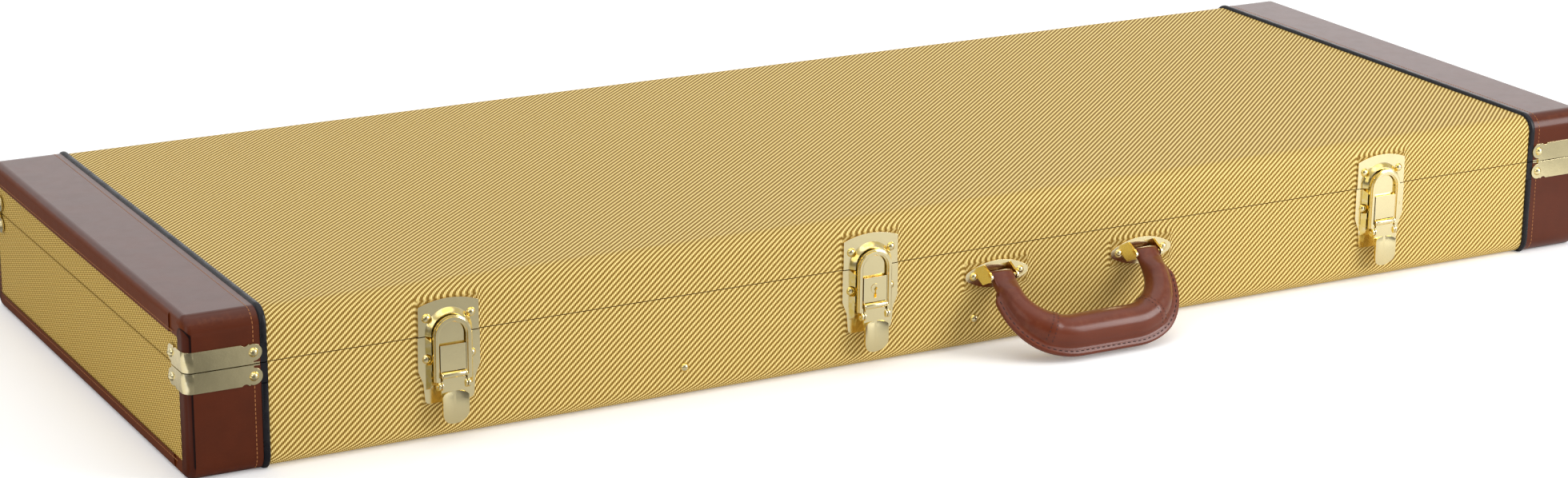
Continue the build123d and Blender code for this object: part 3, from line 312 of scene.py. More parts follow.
def make_pull() -> Effect:
    """How near a place is to one fitting riveted through the cloth, or to one line of painted
    shade.

    Returns:
        The effect: 1 at the box's edge, fading over Reach millimetres. The tweed draws its cloth in
            by it and paints shade with it.
    """
    takes = {"Place": ORIGIN, "Centre": ORIGIN, "Half Size": (1, 1, 1), "Reach": 4.0}
    effect = Effect("fitting_pull", takes, ("Pull",))
    graph, given = effect.graph, effect.inputs
    offset = graph.vector("ABSOLUTE", graph.vector("SUBTRACT", given["Place"], given["Centre"]))
    beyond = graph.vector("MAXIMUM", graph.vector("SUBTRACT", offset, given["Half Size"]), ORIGIN)
    distance = graph.maths("DIVIDE", graph.vector("LENGTH", beyond), given["Reach"])
    effect.give("Pull", graph.maths("EXPONENT", graph.times(distance, -1.0)))
    return effect


def make_grain() -> Effect:
    """Leather grain: small pores between low pebbles, over a slow unevenness.

    Returns:
        The effect, with Pebble Size in millimetres.
    """
    takes = {"Place": ORIGIN, "Pebble Size": 1.0}
    effect = Effect("leather_grain", takes, ("Height", "Pores", "Tone"))
    graph, place = effect.graph, effect.inputs["Place"]
    scale = graph.maths("DIVIDE", 1.0, effect.inputs["Pebble Size"])
    cells = graph.node(
        "ShaderNodeTexVoronoi", {"Vector": place, "Scale": scale}, feature="DISTANCE_TO_EDGE"
    ).outputs["Distance"]
    pores = graph.span(cells, 0.0, 0.22)
    fine = graph.noise(place, graph.times(scale, 2.4), 3.0, 0.6)
    effect.give("Height", graph.linear(fine, 0.35, graph.times(pores, 0.65)))
    effect.give("Pores", pores)
    effect.give("Tone", graph.noise(place, 0.05, 3.0, 0.55))
    return effect


def make_edge_wear() -> Effect:
    """Rubbed edges: where the surface turns away from every axis, broken up by noise. Leather takes
    it as wear; brass takes it as wear and painted highlight.

    Returns:
        The effect, 1 on the edges that are rubbed most.
    """
    effect = Effect("edge_wear", {"Place": ORIGIN, "Break Up": 0.4}, ("Worn",))
    graph, start = effect.graph, effect.inputs["Break Up"]
    x, y, z = graph.facing()
    flat = graph.maths("MAXIMUM", graph.maths("MAXIMUM", x, y), z)
    turned = graph.span(graph.less(1.0, flat), 0.05, 0.26)
    patch = graph.noise(effect.inputs["Place"], 0.22, 4.0, 0.65)
    broken = graph.span(patch, start, graph.maths("ADD", start, 0.3))
    effect.give("Worn", graph.times(turned, broken))
    return effect


def make_smudge() -> Effect:
    """Handling marks: broad smudges and fine scratches, for roughness.

    Returns:
        The effect, both outputs from 0 to 1.
    """
    effect = Effect("smudge", {"Place": ORIGIN}, ("Smudge", "Scratch"))
    graph, place = effect.graph, effect.inputs["Place"]
    effect.give("Smudge", graph.span(graph.noise(place, 0.08, 4.0, 0.6), 0.35, 0.7))
    drawn = graph.vector("MULTIPLY", place, (0.25, 3.0, 2.2))
    effect.give("Scratch", graph.span(graph.noise(drawn, 1.1, 2.0, 0.5), 0.62, 0.7))
    return effect


WEAVE = make_weave()
PULL = make_pull()
GRAIN = make_grain()
EDGE_WEAR = make_edge_wear()
SMUDGE = make_smudge()


# Finishes


def darker(colour: Colour, factor: float) -> Colour:
    """The same colour with less light in it."""
    return tuple(factor * part for part in colour[:3]) + (1,)


def grey(light: float) -> Colour:
    """A plain grey."""
    return (light, light, light, 1)


@dataclass(frozen=True)
class Finish:
    """A named material with its detail from nodes."""

    name: str
    slot: str = ""

    def material(self) -> bpy.types.Material:
        """Build the material when it is first asked for.

        Returns:
            The one material of this finish.
        """
        known = bpy.data.materials.get(f"{self.name}_finish")
        if known is not None:
            return known
        made = bpy.data.materials.new(f"{self.name}_finish")
        self.wire(Surface(made))
        return made

    def wire(self, surface: Surface) -> None:
        """Feed the shader; each finish does it in its own way."""
        raise NotImplementedError

    def dress(self, nodes: Iterable[str]) -> None:
        """Give this finish to CAD nodes.

        Args:
            nodes: Their names.
        """
        for name in nodes:
            for held in frame["nodes"][name].material_slots:
                held.material = self.material()

    def cover(self, piece: bpy.types.Object) -> None:
        """Give this finish to a new piece.

        Args:
            piece: The piece.
        """
        piece.data.materials.clear()
        piece.data.materials.append(self.material())


@dataclass(frozen=True)
class Tweed(Finish):
    """Lacquered tweed: cream rope-like stripes with short dark gaps, a painted highlight on the
    bead crowns and painted shade round the fittings.
    """

    crown_highlight: Colour = (0.98, 0.81, 0.38, 1)
    light: Colour = (0.78, 0.56, 0.165, 1)
    dark: Colour = (0.22, 0.115, 0.010, 1)
    worn_tint: Colour = (0.93, 0.92, 0.88, 1)
    fresh_tint: Colour = (1.04, 1.04, 1.04, 1)
    stripe: Point = (0.238, -0.262, 0)
    bead: Point = (0.807, 0.2315, 0)
    dots: float = 0.4
    gap: float = 0.25
    full: float = 0.88
    relief: float = 0.8
    on_ends: bool = False
    pulls_and_shade: tuple[Region, ...] = ()
    pull_reach: float = 1.7
    pull_shift: float = 3.6
    pull_shade: float = 0.35
    roughness: float = 0.5

    def cloth_place(self, surface: Surface) -> Socket:
        """Unroll the cloth round the long edges, so that stripes run on over them.

        Args:
            surface: The material's graph.

        Returns:
            The place on the flat cloth.
        """
        x, y, z = surface.parts(surface.place)
        if self.on_ends:
            return surface.joined(y, z)
        on_lid = surface.maths("GREATER_THAN", z, SEAM_HEIGHT)
        behind = surface.maths("GREATER_THAN", y, 0.0)
        folded = surface.less(surface.times(on_lid, 2 * CASE_HEIGHT), z)
        rise = surface.linear(behind, surface.less(folded, z), z)
        outward = surface.linear(on_lid, 2.0, -1.0)
        return surface.joined(x, surface.linear(outward, surface.less(y, FRONT), rise))

    def wire(self, surface: Surface) -> None:
        """Feed the shader with the weave, drawn in at the fittings, with painted shade round them
        and along the shade lines, and a painted highlight on the bead crowns.

        Args:
            surface: The material's graph.
        """
        pull_and_shade: Feed = 0.0
        for centre, half_size in self.pulls_and_shade:
            drawn = PULL.on(surface, Centre=centre, Half_Size=half_size, Reach=self.pull_reach)
            pull_and_shade = surface.maths("MAXIMUM", pull_and_shade, drawn["Pull"])
        shift = surface.joined(0.0, surface.times(pull_and_shade, self.pull_shift))
        weave = WEAVE.on(
            surface, Cloth=surface.vector("ADD", self.cloth_place(surface), shift),
            Stripe=self.stripe, Bead=self.bead, Dots=self.dots, Gap=self.gap, Full=self.full,
        )
        # Painted highlight: the threads lighten towards crown_highlight on the bead crowns.
        crowned = surface.mix(weave["Crown"], self.light, self.crown_highlight)
        thread = surface.mix(weave["Thread"], self.dark, crowned)
        tint = surface.mix(surface.span(weave["Tone"], 0.3, 0.7), self.worn_tint, self.fresh_tint)
        toned = surface.mix(1.0, thread, tint, "MULTIPLY")
        # Painted shade: the cloth darkens towards the dark thread colour near each fitting and each
        # shade line.
        shaded = surface.times(surface.span(pull_and_shade, 0.3, 1.0), self.pull_shade)
        surface.shade({
            "Base Color": surface.mix(shaded, toned, self.dark),
            "Roughness": surface.span(weave["Thread"], 0.0, 1.0, 0.75, self.roughness),
            "Normal": surface.bump(weave["Height"], 0.3, self.relief),
            "Specular IOR Level": 0.2,
        })


@dataclass(frozen=True)
class Leather(Finish):
    """Smooth coated leather, darker in its pores and lighter where it is rubbed."""

    colour: Colour = (0.094, 0.0165, 0.003, 1)
    rubbed: Colour = (0.17, 0.045, 0.014, 1)
    pebble: float = 0.8
    relief: float = 0.1
    roughness: float = 0.34
    gloss: float = 0.22
    coat: float = 1.0

    def wire(self, surface: Surface) -> None:
        """Feed the shader with grain, a slow change of tone and rubbed edges.

        Args:
            surface: The material's graph.
        """
        grain = GRAIN.on(surface, Pebble_Size=self.pebble)
        worn = EDGE_WEAR.on(surface, Break_Up=0.42)["Worn"]
        marks = SMUDGE.on(surface)
        deep = darker(self.colour, 0.84)
        tone = surface.mix(surface.span(grain["Tone"], 0.3, 0.72), deep, self.colour)
        pored = surface.mix(surface.linear(grain["Pores"], 0.3, 0.7), deep, tone)
        rubbed = surface.mix(surface.times(worn, 0.35), pored, self.rubbed)
        rough = surface.linear(marks["Smudge"], 0.04, self.roughness)
        surface.shade({
            "Base Color": surface.mix(surface.times(marks["Scratch"], 0.1), rubbed, self.rubbed),
            "Roughness": surface.linear(worn, 0.08, rough),
            "Normal": surface.bump(grain["Height"], 0.1, self.relief),
            "Specular IOR Level": self.gloss,
            "Coat Weight": self.coat,
            "Coat IOR": 1.25,
            "Coat Roughness": 0.2,
        })


@dataclass(frozen=True)
class EndLeather(Leather):
    """The leather of the ends, with a redder colour painted on the end faces and painted shade in
    the arched fold at each upright corner.
    """

    gloss: float = 0.12
    end: Colour = (0.15, 0.030, 0.002, 1)
    end_coat: float = 0.0
    end_x: float = 509.6
    fold_y: float = 182.9
    fold_half_width: float = 5.7
    fold_top: float = 92.6
    fold: Colour = (0.062, 0.0085, 0.001, 1)
    crease_shade: Colour = (0.008, 0.001, 0.0005, 1)
    soft: float = 0.3

    def wire(self, surface: Surface) -> None:
        """Feed the shader as other leather, with the painted end-face colour, the painted shade of
        the folds and the painted creases round them.

        Args:
            surface: The material's graph.
        """
        super().wire(surface)
        x, y, z = surface.parts(surface.vector("ABSOLUTE", surface.place))
        on_end = surface.maths("GREATER_THAN", x, self.end_x)
        endwise = surface.span(surface.facing()[0], 0.6, 0.9)
        rise = surface.less(z, self.fold_top - self.fold_half_width)
        away = surface.vector("LENGTH", surface.joined(
            surface.less(y, self.fold_y), surface.maths("MAXIMUM", rise, 0.0)
        ))
        edge, soft = self.fold_half_width, self.soft
        # Painted shade: the arched fold is darkened inside, and a darker crease line is painted
        # round its edge.
        inside = surface.times(on_end, surface.span(away, edge - soft, edge + soft, 1.0, 0.0))
        from_edge = surface.maths("ABSOLUTE", surface.less(away, edge - soft))
        crease_shade_share = surface.times(on_end, surface.span(from_edge, 0.1, 2 * soft, 1.0, 0.0))
        plain = surface.shader.inputs["Base Color"].links[0].from_socket
        # Painted light: faces that turn towards the ends take a redder colour than the front, and
        # lose their coat.
        end_face_painted = surface.mix(surface.times(endwise, 0.7), plain, self.end)
        folded = surface.mix(surface.times(inside, 0.85), end_face_painted, self.fold)
        surface.shade({
            "Base Color": surface.mix(crease_shade_share, folded, self.crease_shade),
            "Coat Weight": surface.span(endwise, 0.0, 1.0, self.coat, self.end_coat),
        })


@dataclass(frozen=True)
class Brass(Finish):
    """Plated sheet brass: pale on its flats, with painted gold interreflection in its folds and
    lighter edges, partly wear from burnishing and partly painted highlight.
    """

    colour: Colour = (0.90, 0.78, 0.45, 1)
    interreflection_gold: Colour = (0.95, 0.69, 0.12, 1)
    burnish_and_highlight: Colour = (1.0, 0.96, 0.80, 1)
    interreflection_fades_x: Range = (470.0, 500.0)
    roughness: float = 0.13

    def wire(self, surface: Surface) -> None:
        """Feed the shader with smudges, scratches, painted gold interreflection in the folds, and
        edges lightened partly as burnishing wear and partly as painted highlight.

        Args:
            surface: The material's graph.
        """
        marks = SMUDGE.on(surface)
        worn = EDGE_WEAR.on(surface, Break_Up=0.4)["Worn"]
        sideways, outward, _ = surface.facing()
        reach = surface.parts(surface.vector("ABSOLUTE", surface.place))[0]
        # Painted reflection: folds and bends take a golden colour for light bounced between brass
        # surfaces, fading out towards the clamps at the ends.
        turned = surface.maths(
            "MAXIMUM", surface.span(sideways, 0.3, 0.8), surface.span(outward, 0.6, 0.95, 1.0, 0.0)
        )
        on_front = surface.span(reach, *self.interreflection_fades_x, 1.0, 0.0)
        folded = surface.times(surface.times(turned, on_front), 0.8)
        interreflected = surface.mix(folded, self.colour, self.interreflection_gold)
        rough = surface.linear(marks["Smudge"], 0.06, self.roughness)
        ripple = surface.noise(surface.place, 0.16, 3.0, 0.5)
        surface.shade({
            # Partly burnishing wear, partly painted highlight: the turned edges lighten towards
            # burnish_and_highlight.
            "Base Color": surface.mix(surface.times(worn, 0.4), interreflected, self.burnish_and_highlight),
            "Roughness": surface.linear(marks["Scratch"], 0.08, rough),
            "Metallic": 1.0,
            "Normal": surface.bump(surface.linear(marks["Scratch"], -0.03, ripple), 0.35, 0.22),
        })


@dataclass(frozen=True)
class Piping(Finish):
    """Glossy black vinyl over a cord, a little dusty."""

    colour: Colour = (0.006, 0.006, 0.009, 1)
    dusty: Colour = (0.022, 0.021, 0.024, 1)

    def wire(self, surface: Surface) -> None:
        """Feed the shader with faint dust and the cord's unevenness.

        Args:
            surface: The material's graph.
        """
        dust = SMUDGE.on(surface)["Smudge"]
        surface.shade({
            "Base Color": surface.mix(surface.times(dust, 0.35), self.colour, self.dusty),
            "Roughness": surface.span(dust, 0.0, 1.0, 0.24, 0.42),
            "Normal": surface.bump(surface.noise(surface.place, 0.35, 3.0), 0.3, 0.3),
            "Specular IOR Level": 0.3,
        })


@dataclass(frozen=True)
class Thread(Finish):
    """Twisted sewing thread."""

    colour: Colour = (0.48, 0.18, 0.045, 1)
    turns: Point = (1.7, 1.3, 1.5)

    def wire(self, surface: Surface) -> None:
        """Feed the shader with the thread's twist.

        Args:
            surface: The material's graph.
        """
        twist = surface.ripple(surface.vector("DOT_PRODUCT", surface.place, self.turns))
        surface.shade({
            "Base Color": surface.mix(twist, darker(self.colour, 0.6), self.colour),
            "Roughness": surface.span(twist, 0.0, 1.0, 0.75, 0.5),
            "Normal": surface.bump(twist, 0.1, 0.6),
        })


@dataclass(frozen=True)
class Plush(Finish):
    """Short dense pile, brushed one way here and the other way there."""

    deep: Colour = (0.050, 0.004, 0.009, 1)
    brushed: Colour = (0.20, 0.018, 0.034, 1)

    def wire(self, surface: Surface) -> None:
        """Feed the shader with the pile and the way it lies.

        Args:
            surface: The material's graph.
        """
        lie = surface.span(surface.noise(surface.place, 0.03, 4.0, 0.62), 0.36, 0.66)
        pile = surface.noise(surface.place, 2.6, 2.0, 0.7)
        shade = surface.linear(pile, 0.5, surface.times(lie, 0.6))
        surface.shade({
            "Base Color": surface.mix(shade, self.deep, self.brushed),
            "Roughness": surface.span(pile, 0.2, 0.8, 1.0, 0.8),
            "Normal": surface.bump(pile, 0.5, 0.8),
            "Sheen Weight": 0.5,
            "Sheen Roughness": 0.4,
        })


@dataclass(frozen=True)
class Plywood(Finish):
    """Birch plywood: grain along the case on its faces, plies on its cut edges."""

    early: Colour = (0.62, 0.44, 0.25, 1)
    late: Colour = (0.36, 0.21, 0.095, 1)
    ply: float = 1.5
    outer_x: float = 512.0
    outer_y: float = 186.3

    def wire(self, surface: Surface) -> None:
        """Feed the shader with grain lines and plies.

        Args:
            surface: The material's graph.
        """
        x, y, _ = surface.parts(surface.vector("ABSOLUTE", surface.place))
        drawn = surface.vector("MULTIPLY", surface.place, (0.012, 0.35, 0.35))
        grain = surface.noise(drawn, 1.0, 5.0, 0.6)
        depth = surface.maths(
            "MINIMUM", surface.less(self.outer_x, x), surface.less(self.outer_y, y)
        )
        plies = surface.ripple(surface.maths("DIVIDE", depth, 2 * self.ply))
        cut = surface.span(surface.facing()[2], 0.7, 0.9)
        layered = surface.times(cut, surface.span(plies, 0.35, 0.65))
        dark = surface.maths("MAXIMUM", layered, surface.span(grain, 0.4, 0.75))
        surface.shade({
            "Base Color": surface.mix(dark, self.early, self.late),
            "Roughness": surface.span(grain, 0.3, 0.8, 0.55, 0.75),
            "Normal": surface.bump(grain, 0.2, 0.4),
        })


@dataclass(frozen=True)
class Steel(Finish):
    """Drawn steel pins with turning marks."""

    colour: Colour = (0.52, 0.52, 0.53, 1)

    def wire(self, surface: Surface) -> None:
        """Feed the shader with marks along the pin.

        Args:
            surface: The material's graph.
        """
        along = surface.vector("MULTIPLY", surface.place, (0.15, 6.0, 6.0))
        drawn = surface.noise(along, 1.0, 3.0)
        surface.shade({
            "Base Color": surface.mix(drawn, darker(self.colour, 0.6), self.colour),
            "Roughness": surface.span(drawn, 0.3, 0.7, 0.25, 0.45),
            "Metallic": 1.0,
        })


@dataclass(frozen=True)
class Rubber(Finish):
    """Matt black rubber with scuffs."""

    colour: Colour = (0.014, 0.014, 0.014, 1)
    scuffed: Colour = (0.075, 0.07, 0.065, 1)

    def wire(self, surface: Surface) -> None:
        """Feed the shader with scuffs and a fine moulded texture.

        Args:
            surface: The material's graph.
        """
        fine = surface.noise(surface.place, 1.8, 3.0, 0.6)
        scuffs = surface.times(SMUDGE.on(surface)["Smudge"], fine)
        surface.shade({
            "Base Color": surface.mix(scuffs, self.colour, self.scuffed),
            "Roughness": surface.span(fine, 0.3, 0.7, 0.6, 0.85),
            "Normal": surface.bump(fine, 0.15, 0.5),
        })


@dataclass(frozen=True)
class PaleFloor(Finish):
    """The plain pale floor under the case, with a painted reflection for polished metal, which sees
    it darker than the eye does.
    """

    colour: Colour = grey(0.95)
    painted_flag: Colour = grey(0.10)
    dim: Colour = grey(0.30)
    lit: Colour = grey(0.65)
    white: Colour = grey(0.85)
    along_case_x: Range = (-340.0, 420.0)
    painted_flag_ends_x: Range = (-450.0, -385.0)
    past_case_x: Range = (575.0, 650.0)
    close_y: Range = (-430.0, -260.0)
    close_x: Range = (-450.0, -375.0)
    close_shares: Range = (0.25, 0.6)
    painted_card_x: Range = (-590.0, -545.0)
    painted_card_middle_y: float = -90.0
    painted_card_edge: Range = (150.0, 190.0)
    glow: float = 0.2

    def mirrored(self, surface: Surface) -> Socket:
        """The painted reflection that polished metal sees: lighter along the case and close to it,
        white where a card is painted in, dark as under a flag elsewhere.

        Args:
            surface: The material's graph.

        Returns:
            The colour.
        """
        x, y, _ = surface.parts(surface.place)
        along = surface.mix(surface.span(x, *self.along_case_x), self.dim, self.white)
        left = surface.mix(surface.span(x, *self.painted_flag_ends_x), self.painted_flag, along)
        right = surface.mix(surface.span(x, *self.past_case_x), left, self.dim)
        close = surface.times(
            surface.span(y, *self.close_y), surface.span(x, *self.close_x, *self.close_shares)
        )
        off_middle = surface.maths("ABSOLUTE", surface.less(y, self.painted_card_middle_y))
        beside = surface.times(
            surface.span(x, *self.painted_card_x, 1.0, 0.0),
            surface.span(off_middle, *self.painted_card_edge, 1.0, 0.0),
        )
        return surface.mix(beside, surface.mix(close, right, self.lit), self.white)

    def wire(self, surface: Surface) -> None:
        """Feed the shader with a faint unevenness, with a painted reflection for the metal, and
        with a faint glow for every ray that is not glossy.

        Args:
            surface: The material's graph.
        """
        uneven = surface.noise(surface.place, 0.004, 2.0)
        seen = surface.mix(uneven, darker(self.colour, 0.985), self.colour)
        # Painted reflection: glossy rays see the colours of mirrored() in place of the floor.
        in_metal = surface.node("ShaderNodeLightPath").outputs["Is Glossy Ray"]
        surface.shade({
            "Base Color": surface.mix(in_metal, seen, self.mirrored(surface)),
            "Roughness": surface.span(uneven, 0.3, 0.7, 0.75, 0.85),
            "Emission Color": surface.mix(in_metal, grey(1.0), grey(0.0)),
            "Emission Strength": self.glow,
        })


# Mesh helpers


def in_scene(name: str, data: bpy.types.ID) -> bpy.types.Object:
    """Put data into the scene as an object.

    Args:
        name: The object's name.
        data: Its mesh, lamp or lens.

    Returns:
        The object, at the origin.
    """
    data.name = name
    made = bpy.data.objects.new(name, data)
    bpy.context.scene.collection.objects.link(made)
    return made


def mesh_of(shape: Shape) -> bpy.types.Mesh:
    """Turn a bmesh into a mesh and free it.

    Args:
        shape: The bmesh.

    Returns:
        The mesh.
    """
    mesh = bpy.data.meshes.new("shape")
    shape.to_mesh(mesh)
    shape.free()
    return mesh


def mesh_from(build: Callable[[Shape], None], smooth: bool = True) -> bpy.types.Mesh:
    """Make a mesh with bmesh, its faces turned outwards.

    Args:
        build: Fills the bmesh.
        smooth: Whether its faces are shaded smooth.

    Returns:
        The mesh.
    """
    shape = bmesh.new()
    build(shape)
    bmesh.ops.remove_doubles(shape, verts=shape.verts, dist=1e-6)
    bmesh.ops.recalc_face_normals(shape, faces=shape.faces)
    for face in shape.faces:
        face.smooth = smooth
    return mesh_of(shape)


def bridge(
    shape: Shape, near: Sequence[bmesh.types.BMVert], far: Sequence[bmesh.types.BMVert],
    closed: bool = False,
) -> None:
    """Lay one row of faces between two rows of corners.

    Args:
        shape: The bmesh.
        near: The first row.
        far: The second row, with as many corners.
        closed: Whether the rows run round to their starts.
    """
    for step in range(len(near) if closed else len(near) - 1):
        following = (step + 1) % len(near)
        shape.faces.new((near[step], near[following], far[following], far[step]))


def evaluated_mesh(piece: bpy.types.Object) -> bpy.types.Mesh:
    """Apply the modifiers of a piece to a mesh of its own.

    Args:
        piece: The piece.

    Returns:
        The mesh.
    """
    bpy.context.view_layer.update()
    evaluated = piece.evaluated_get(bpy.context.evaluated_depsgraph_get())
    return bpy.data.meshes.new_from_object(evaluated)


def finish_piece(
    piece: bpy.types.Object, finish: Finish, body: Body, replaces: Sequence[str] = ()
) -> None:
    """Cover a piece, let it ride on its body and report it.

    Args:
        piece: The piece.
        finish: Its finish.
        body: The body it rides on.
        replaces: The CAD nodes it stands for.
    """
    finish.cover(piece)
    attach(piece, body.value)
    if replaces:
        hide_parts(*replaces)
    log.info("%s rides on %s, %d faces", piece.name, body.value, len(piece.data.polygons))


def box_mm(node: str) -> tuple[Vector, Vector]:
    """The lowest and the highest corner of a CAD node, in millimetres."""
    low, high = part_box(node)
    return low / MM, high / MM


def eased(share: float) -> float:
    """A share held between 0 and 1 and eased at both ends."""
    held = min(max(share, 0.0), 1.0)
    return held * held * (3 - 2 * held)


def arc(
    centre: tuple[float, float], radius: float, start: float, end: float, steps: int = 8
) -> list[tuple[float, float]]:
    """Points along an arc.

    Args:
        centre: Its centre.
        radius: Its radius.
        start: The angle it starts at, in degrees.
        end: The angle it ends at.
        steps: How many stretches it has.

    Returns:
        The points, both ends among them.
    """
    angles = [math.radians(start + (end - start) * step / steps) for step in range(steps + 1)]
    return [(centre[0] + radius * math.cos(a), centre[1] + radius * math.sin(a)) for a in angles]


# Stitches


@dataclass
class StitchRow:
    """Thread stitches along lines, laid by Geometry Nodes."""

    name: str
    thread: Thread
    pitch: float = 2.7
    length: float = 2.55
    radius: float = 0.33

    def tree(self) -> bpy.types.NodeTree:
        """Build the node tree that lays one stitch at each pitch along the lines.

        Returns:
            The tree, its sizes as named inputs in metres.
        """
        tree = bpy.data.node_groups.new(f"{self.name}_stitches", "GeometryNodeTree")
        for name, in_out, kind in (
            ("Lines", "INPUT", "Geometry"), ("Pitch", "INPUT", "Float"),
            ("Stitch Length", "INPUT", "Float"), ("Thread Radius", "INPUT", "Float"),
            ("Thread", "INPUT", "Material"), ("Stitches", "OUTPUT", "Geometry"),
        ):
            tree.interface.new_socket(name=name, in_out=in_out, socket_type=f"NodeSocket{kind}")
        graph = Graph(tree)
        given = graph.node("NodeGroupInput").outputs
        curve = graph.node("GeometryNodeMeshToCurve", {"Mesh": given["Lines"]}).outputs[0]
        points = graph.node(
            "GeometryNodeResampleCurve", {"Curve": curve, "Length": given["Pitch"]}, mode="LENGTH"
        ).outputs[0]
        along = {"Vector": graph.node("GeometryNodeInputTangent").outputs[0]}
        turn = graph.node("FunctionNodeAlignRotationToVector", along, axis="X").outputs[0]
        ball = {"Segments": 6, "Rings": 4, "Radius": 1.0}
        half, radius = graph.times(given["Stitch Length"], 0.5), given["Thread Radius"]
        laid = graph.node("GeometryNodeInstanceOnPoints", {
            "Points": points, "Instance": graph.node("GeometryNodeMeshUVSphere", ball).outputs[0],
            "Rotation": turn, "Scale": graph.joined(half, radius, radius),
        }).outputs[0]
        real = graph.node("GeometryNodeRealizeInstances", {"Geometry": laid}).outputs[0]
        covered = {"Geometry": real, "Material": given["Thread"]}
        sewn = graph.node("GeometryNodeSetMaterial", covered).outputs[0]
        graph.node("NodeGroupOutput", {"Stitches": sewn})
        return tree

    def sew(self, lines: Iterable[Sequence[Point]], body: Body) -> None:
        """Lay the stitches along lines, as one piece.

        Args:
            lines: The lines' points, in millimetres.
            body: The body they ride on.
        """
        def draw(shape: Shape) -> None:
            """Add each line as a chain of edges.

            Args:
                shape: The bmesh to fill.
            """
            for line in lines:
                corners = [shape.verts.new(Vector(point) * MM) for point in line]
                for near, far in zip(corners, corners[1:]):
                    shape.edges.new((near, far))

        guide = in_scene(f"{self.name}_guide", mesh_from(draw))
        layer = guide.modifiers.new("stitches", "NODES")
        layer.node_group = self.tree()
        values = {
            "Pitch": self.pitch * MM, "Stitch Length": self.length * MM,
            "Thread Radius": self.radius * MM, "Thread": self.thread.material(),
        }
        for item in layer.node_group.interface.items_tree:
            if item.in_out == "INPUT" and item.name in values:
                layer[item.identifier] = values[item.name]
        mesh = evaluated_mesh(guide)
        bpy.data.objects.remove(guide)
        mesh.shade_smooth()
        finish_piece(in_scene(self.name, mesh), self.thread, body)


# Coverings


@dataclass
class Coverings:
    """The boards and the tweed that is glued round them."""

    latch_nodes: tuple[str, ...] = ("left_latch", "centre_latch", "right_latch")
    bracket_nodes: tuple[str, ...] = ("left_handle_bracket", "right_handle_bracket")
    latch_shoulder: float = 25.0
    latch_neck_inset: float = 3.6
    pressed_edge: float = 0.4
    pull_depth: float = 12.0
    shade_line: float = 0.2
    past_the_end: float = 600.0

    def pulls_and_shade(self) -> tuple[Region, ...]:
        """Where fittings draw the cloth in and cast painted shade on it.

        Returns:
            The centre and half size of each fitting, in millimetres.
        """
        shoulder, inset = SEAM_HEIGHT - self.latch_shoulder, self.latch_neck_inset
        found = []
        for latch in self.latch_nodes:
            low, high = box_mm(f"{latch}_base")[0], box_mm(f"{latch}_strike")[1]
            found.append((Vector((low.x, 0, shoulder)), high))
            neck = Vector((low.x + inset, 0, low.z)), Vector((high.x - inset, 0, shoulder))
            found.append(neck)
        found += [box_mm(bracket) for bracket in self.bracket_nodes]
        boxes = []
        for low, high in found:
            centre, half = (low + high) / 2, (high - low) / 2
            size = (half.x - self.pressed_edge, self.pull_depth, half.z - self.pressed_edge)
            boxes.append(((centre.x, FRONT, centre.z), size))
        return tuple(boxes)

    def end_shade_lines(self) -> tuple[Region, ...]:
        """Where the end cloth runs under the leather or over the seam, darkened there with painted
        shade.

        Returns:
            The centre and half size of each such line, in millimetres.
        """
        past, thin = self.past_the_end, self.shade_line
        lines = []
        for half in Half:
            low, high = box_mm(f"{half.value}_end_cloth")
            lines += [((0.0, 0.0, height), (past, high.y, thin)) for height in (low.z, high.z)]
            lines += [((0.0, side, 0.0), (past, thin, past)) for side in (low.y, high.y)]
        return tuple(lines)

    def dress(self) -> None:
        """Cover the shells in tweed and give the boards their plywood."""
        cloth = Tweed("tweed", "tweed", pulls_and_shade=self.pulls_and_shade())
        cloth.dress(("base_side_cloth", "base_underside_cloth", "lid_cloth"))
        # The ends get a darker, less blue copy of the same tweed, painted for the shade on the end
        # faces; their lines carry only painted shade, no drawn-in cloth.
        ends = Tweed(
            "shaded_end_tweed", "tweed", crown_highlight=(0.86, 0.64, 0.20, 1), light=(0.66, 0.44, 0.085, 1),
            dark=(0.25, 0.135, 0.012, 1), stripe=(0.246, -0.207, 0), bead=(0.21, 0.75, 0),
            dots=0.7, gap=0.3, full=1.0, on_ends=True, pulls_and_shade=self.end_shade_lines(), pull_reach=1.3,
            pull_shift=0.0,
        )
        ends.dress(("base_end_cloth", "lid_end_cloth"))
        boards = [name for name in frame["nodes"] if name.endswith("_board")]
        Plywood("plywood", "plywood").dress(boards)
        log.info("tweed on the shells, plywood on %d boards", len(boards))


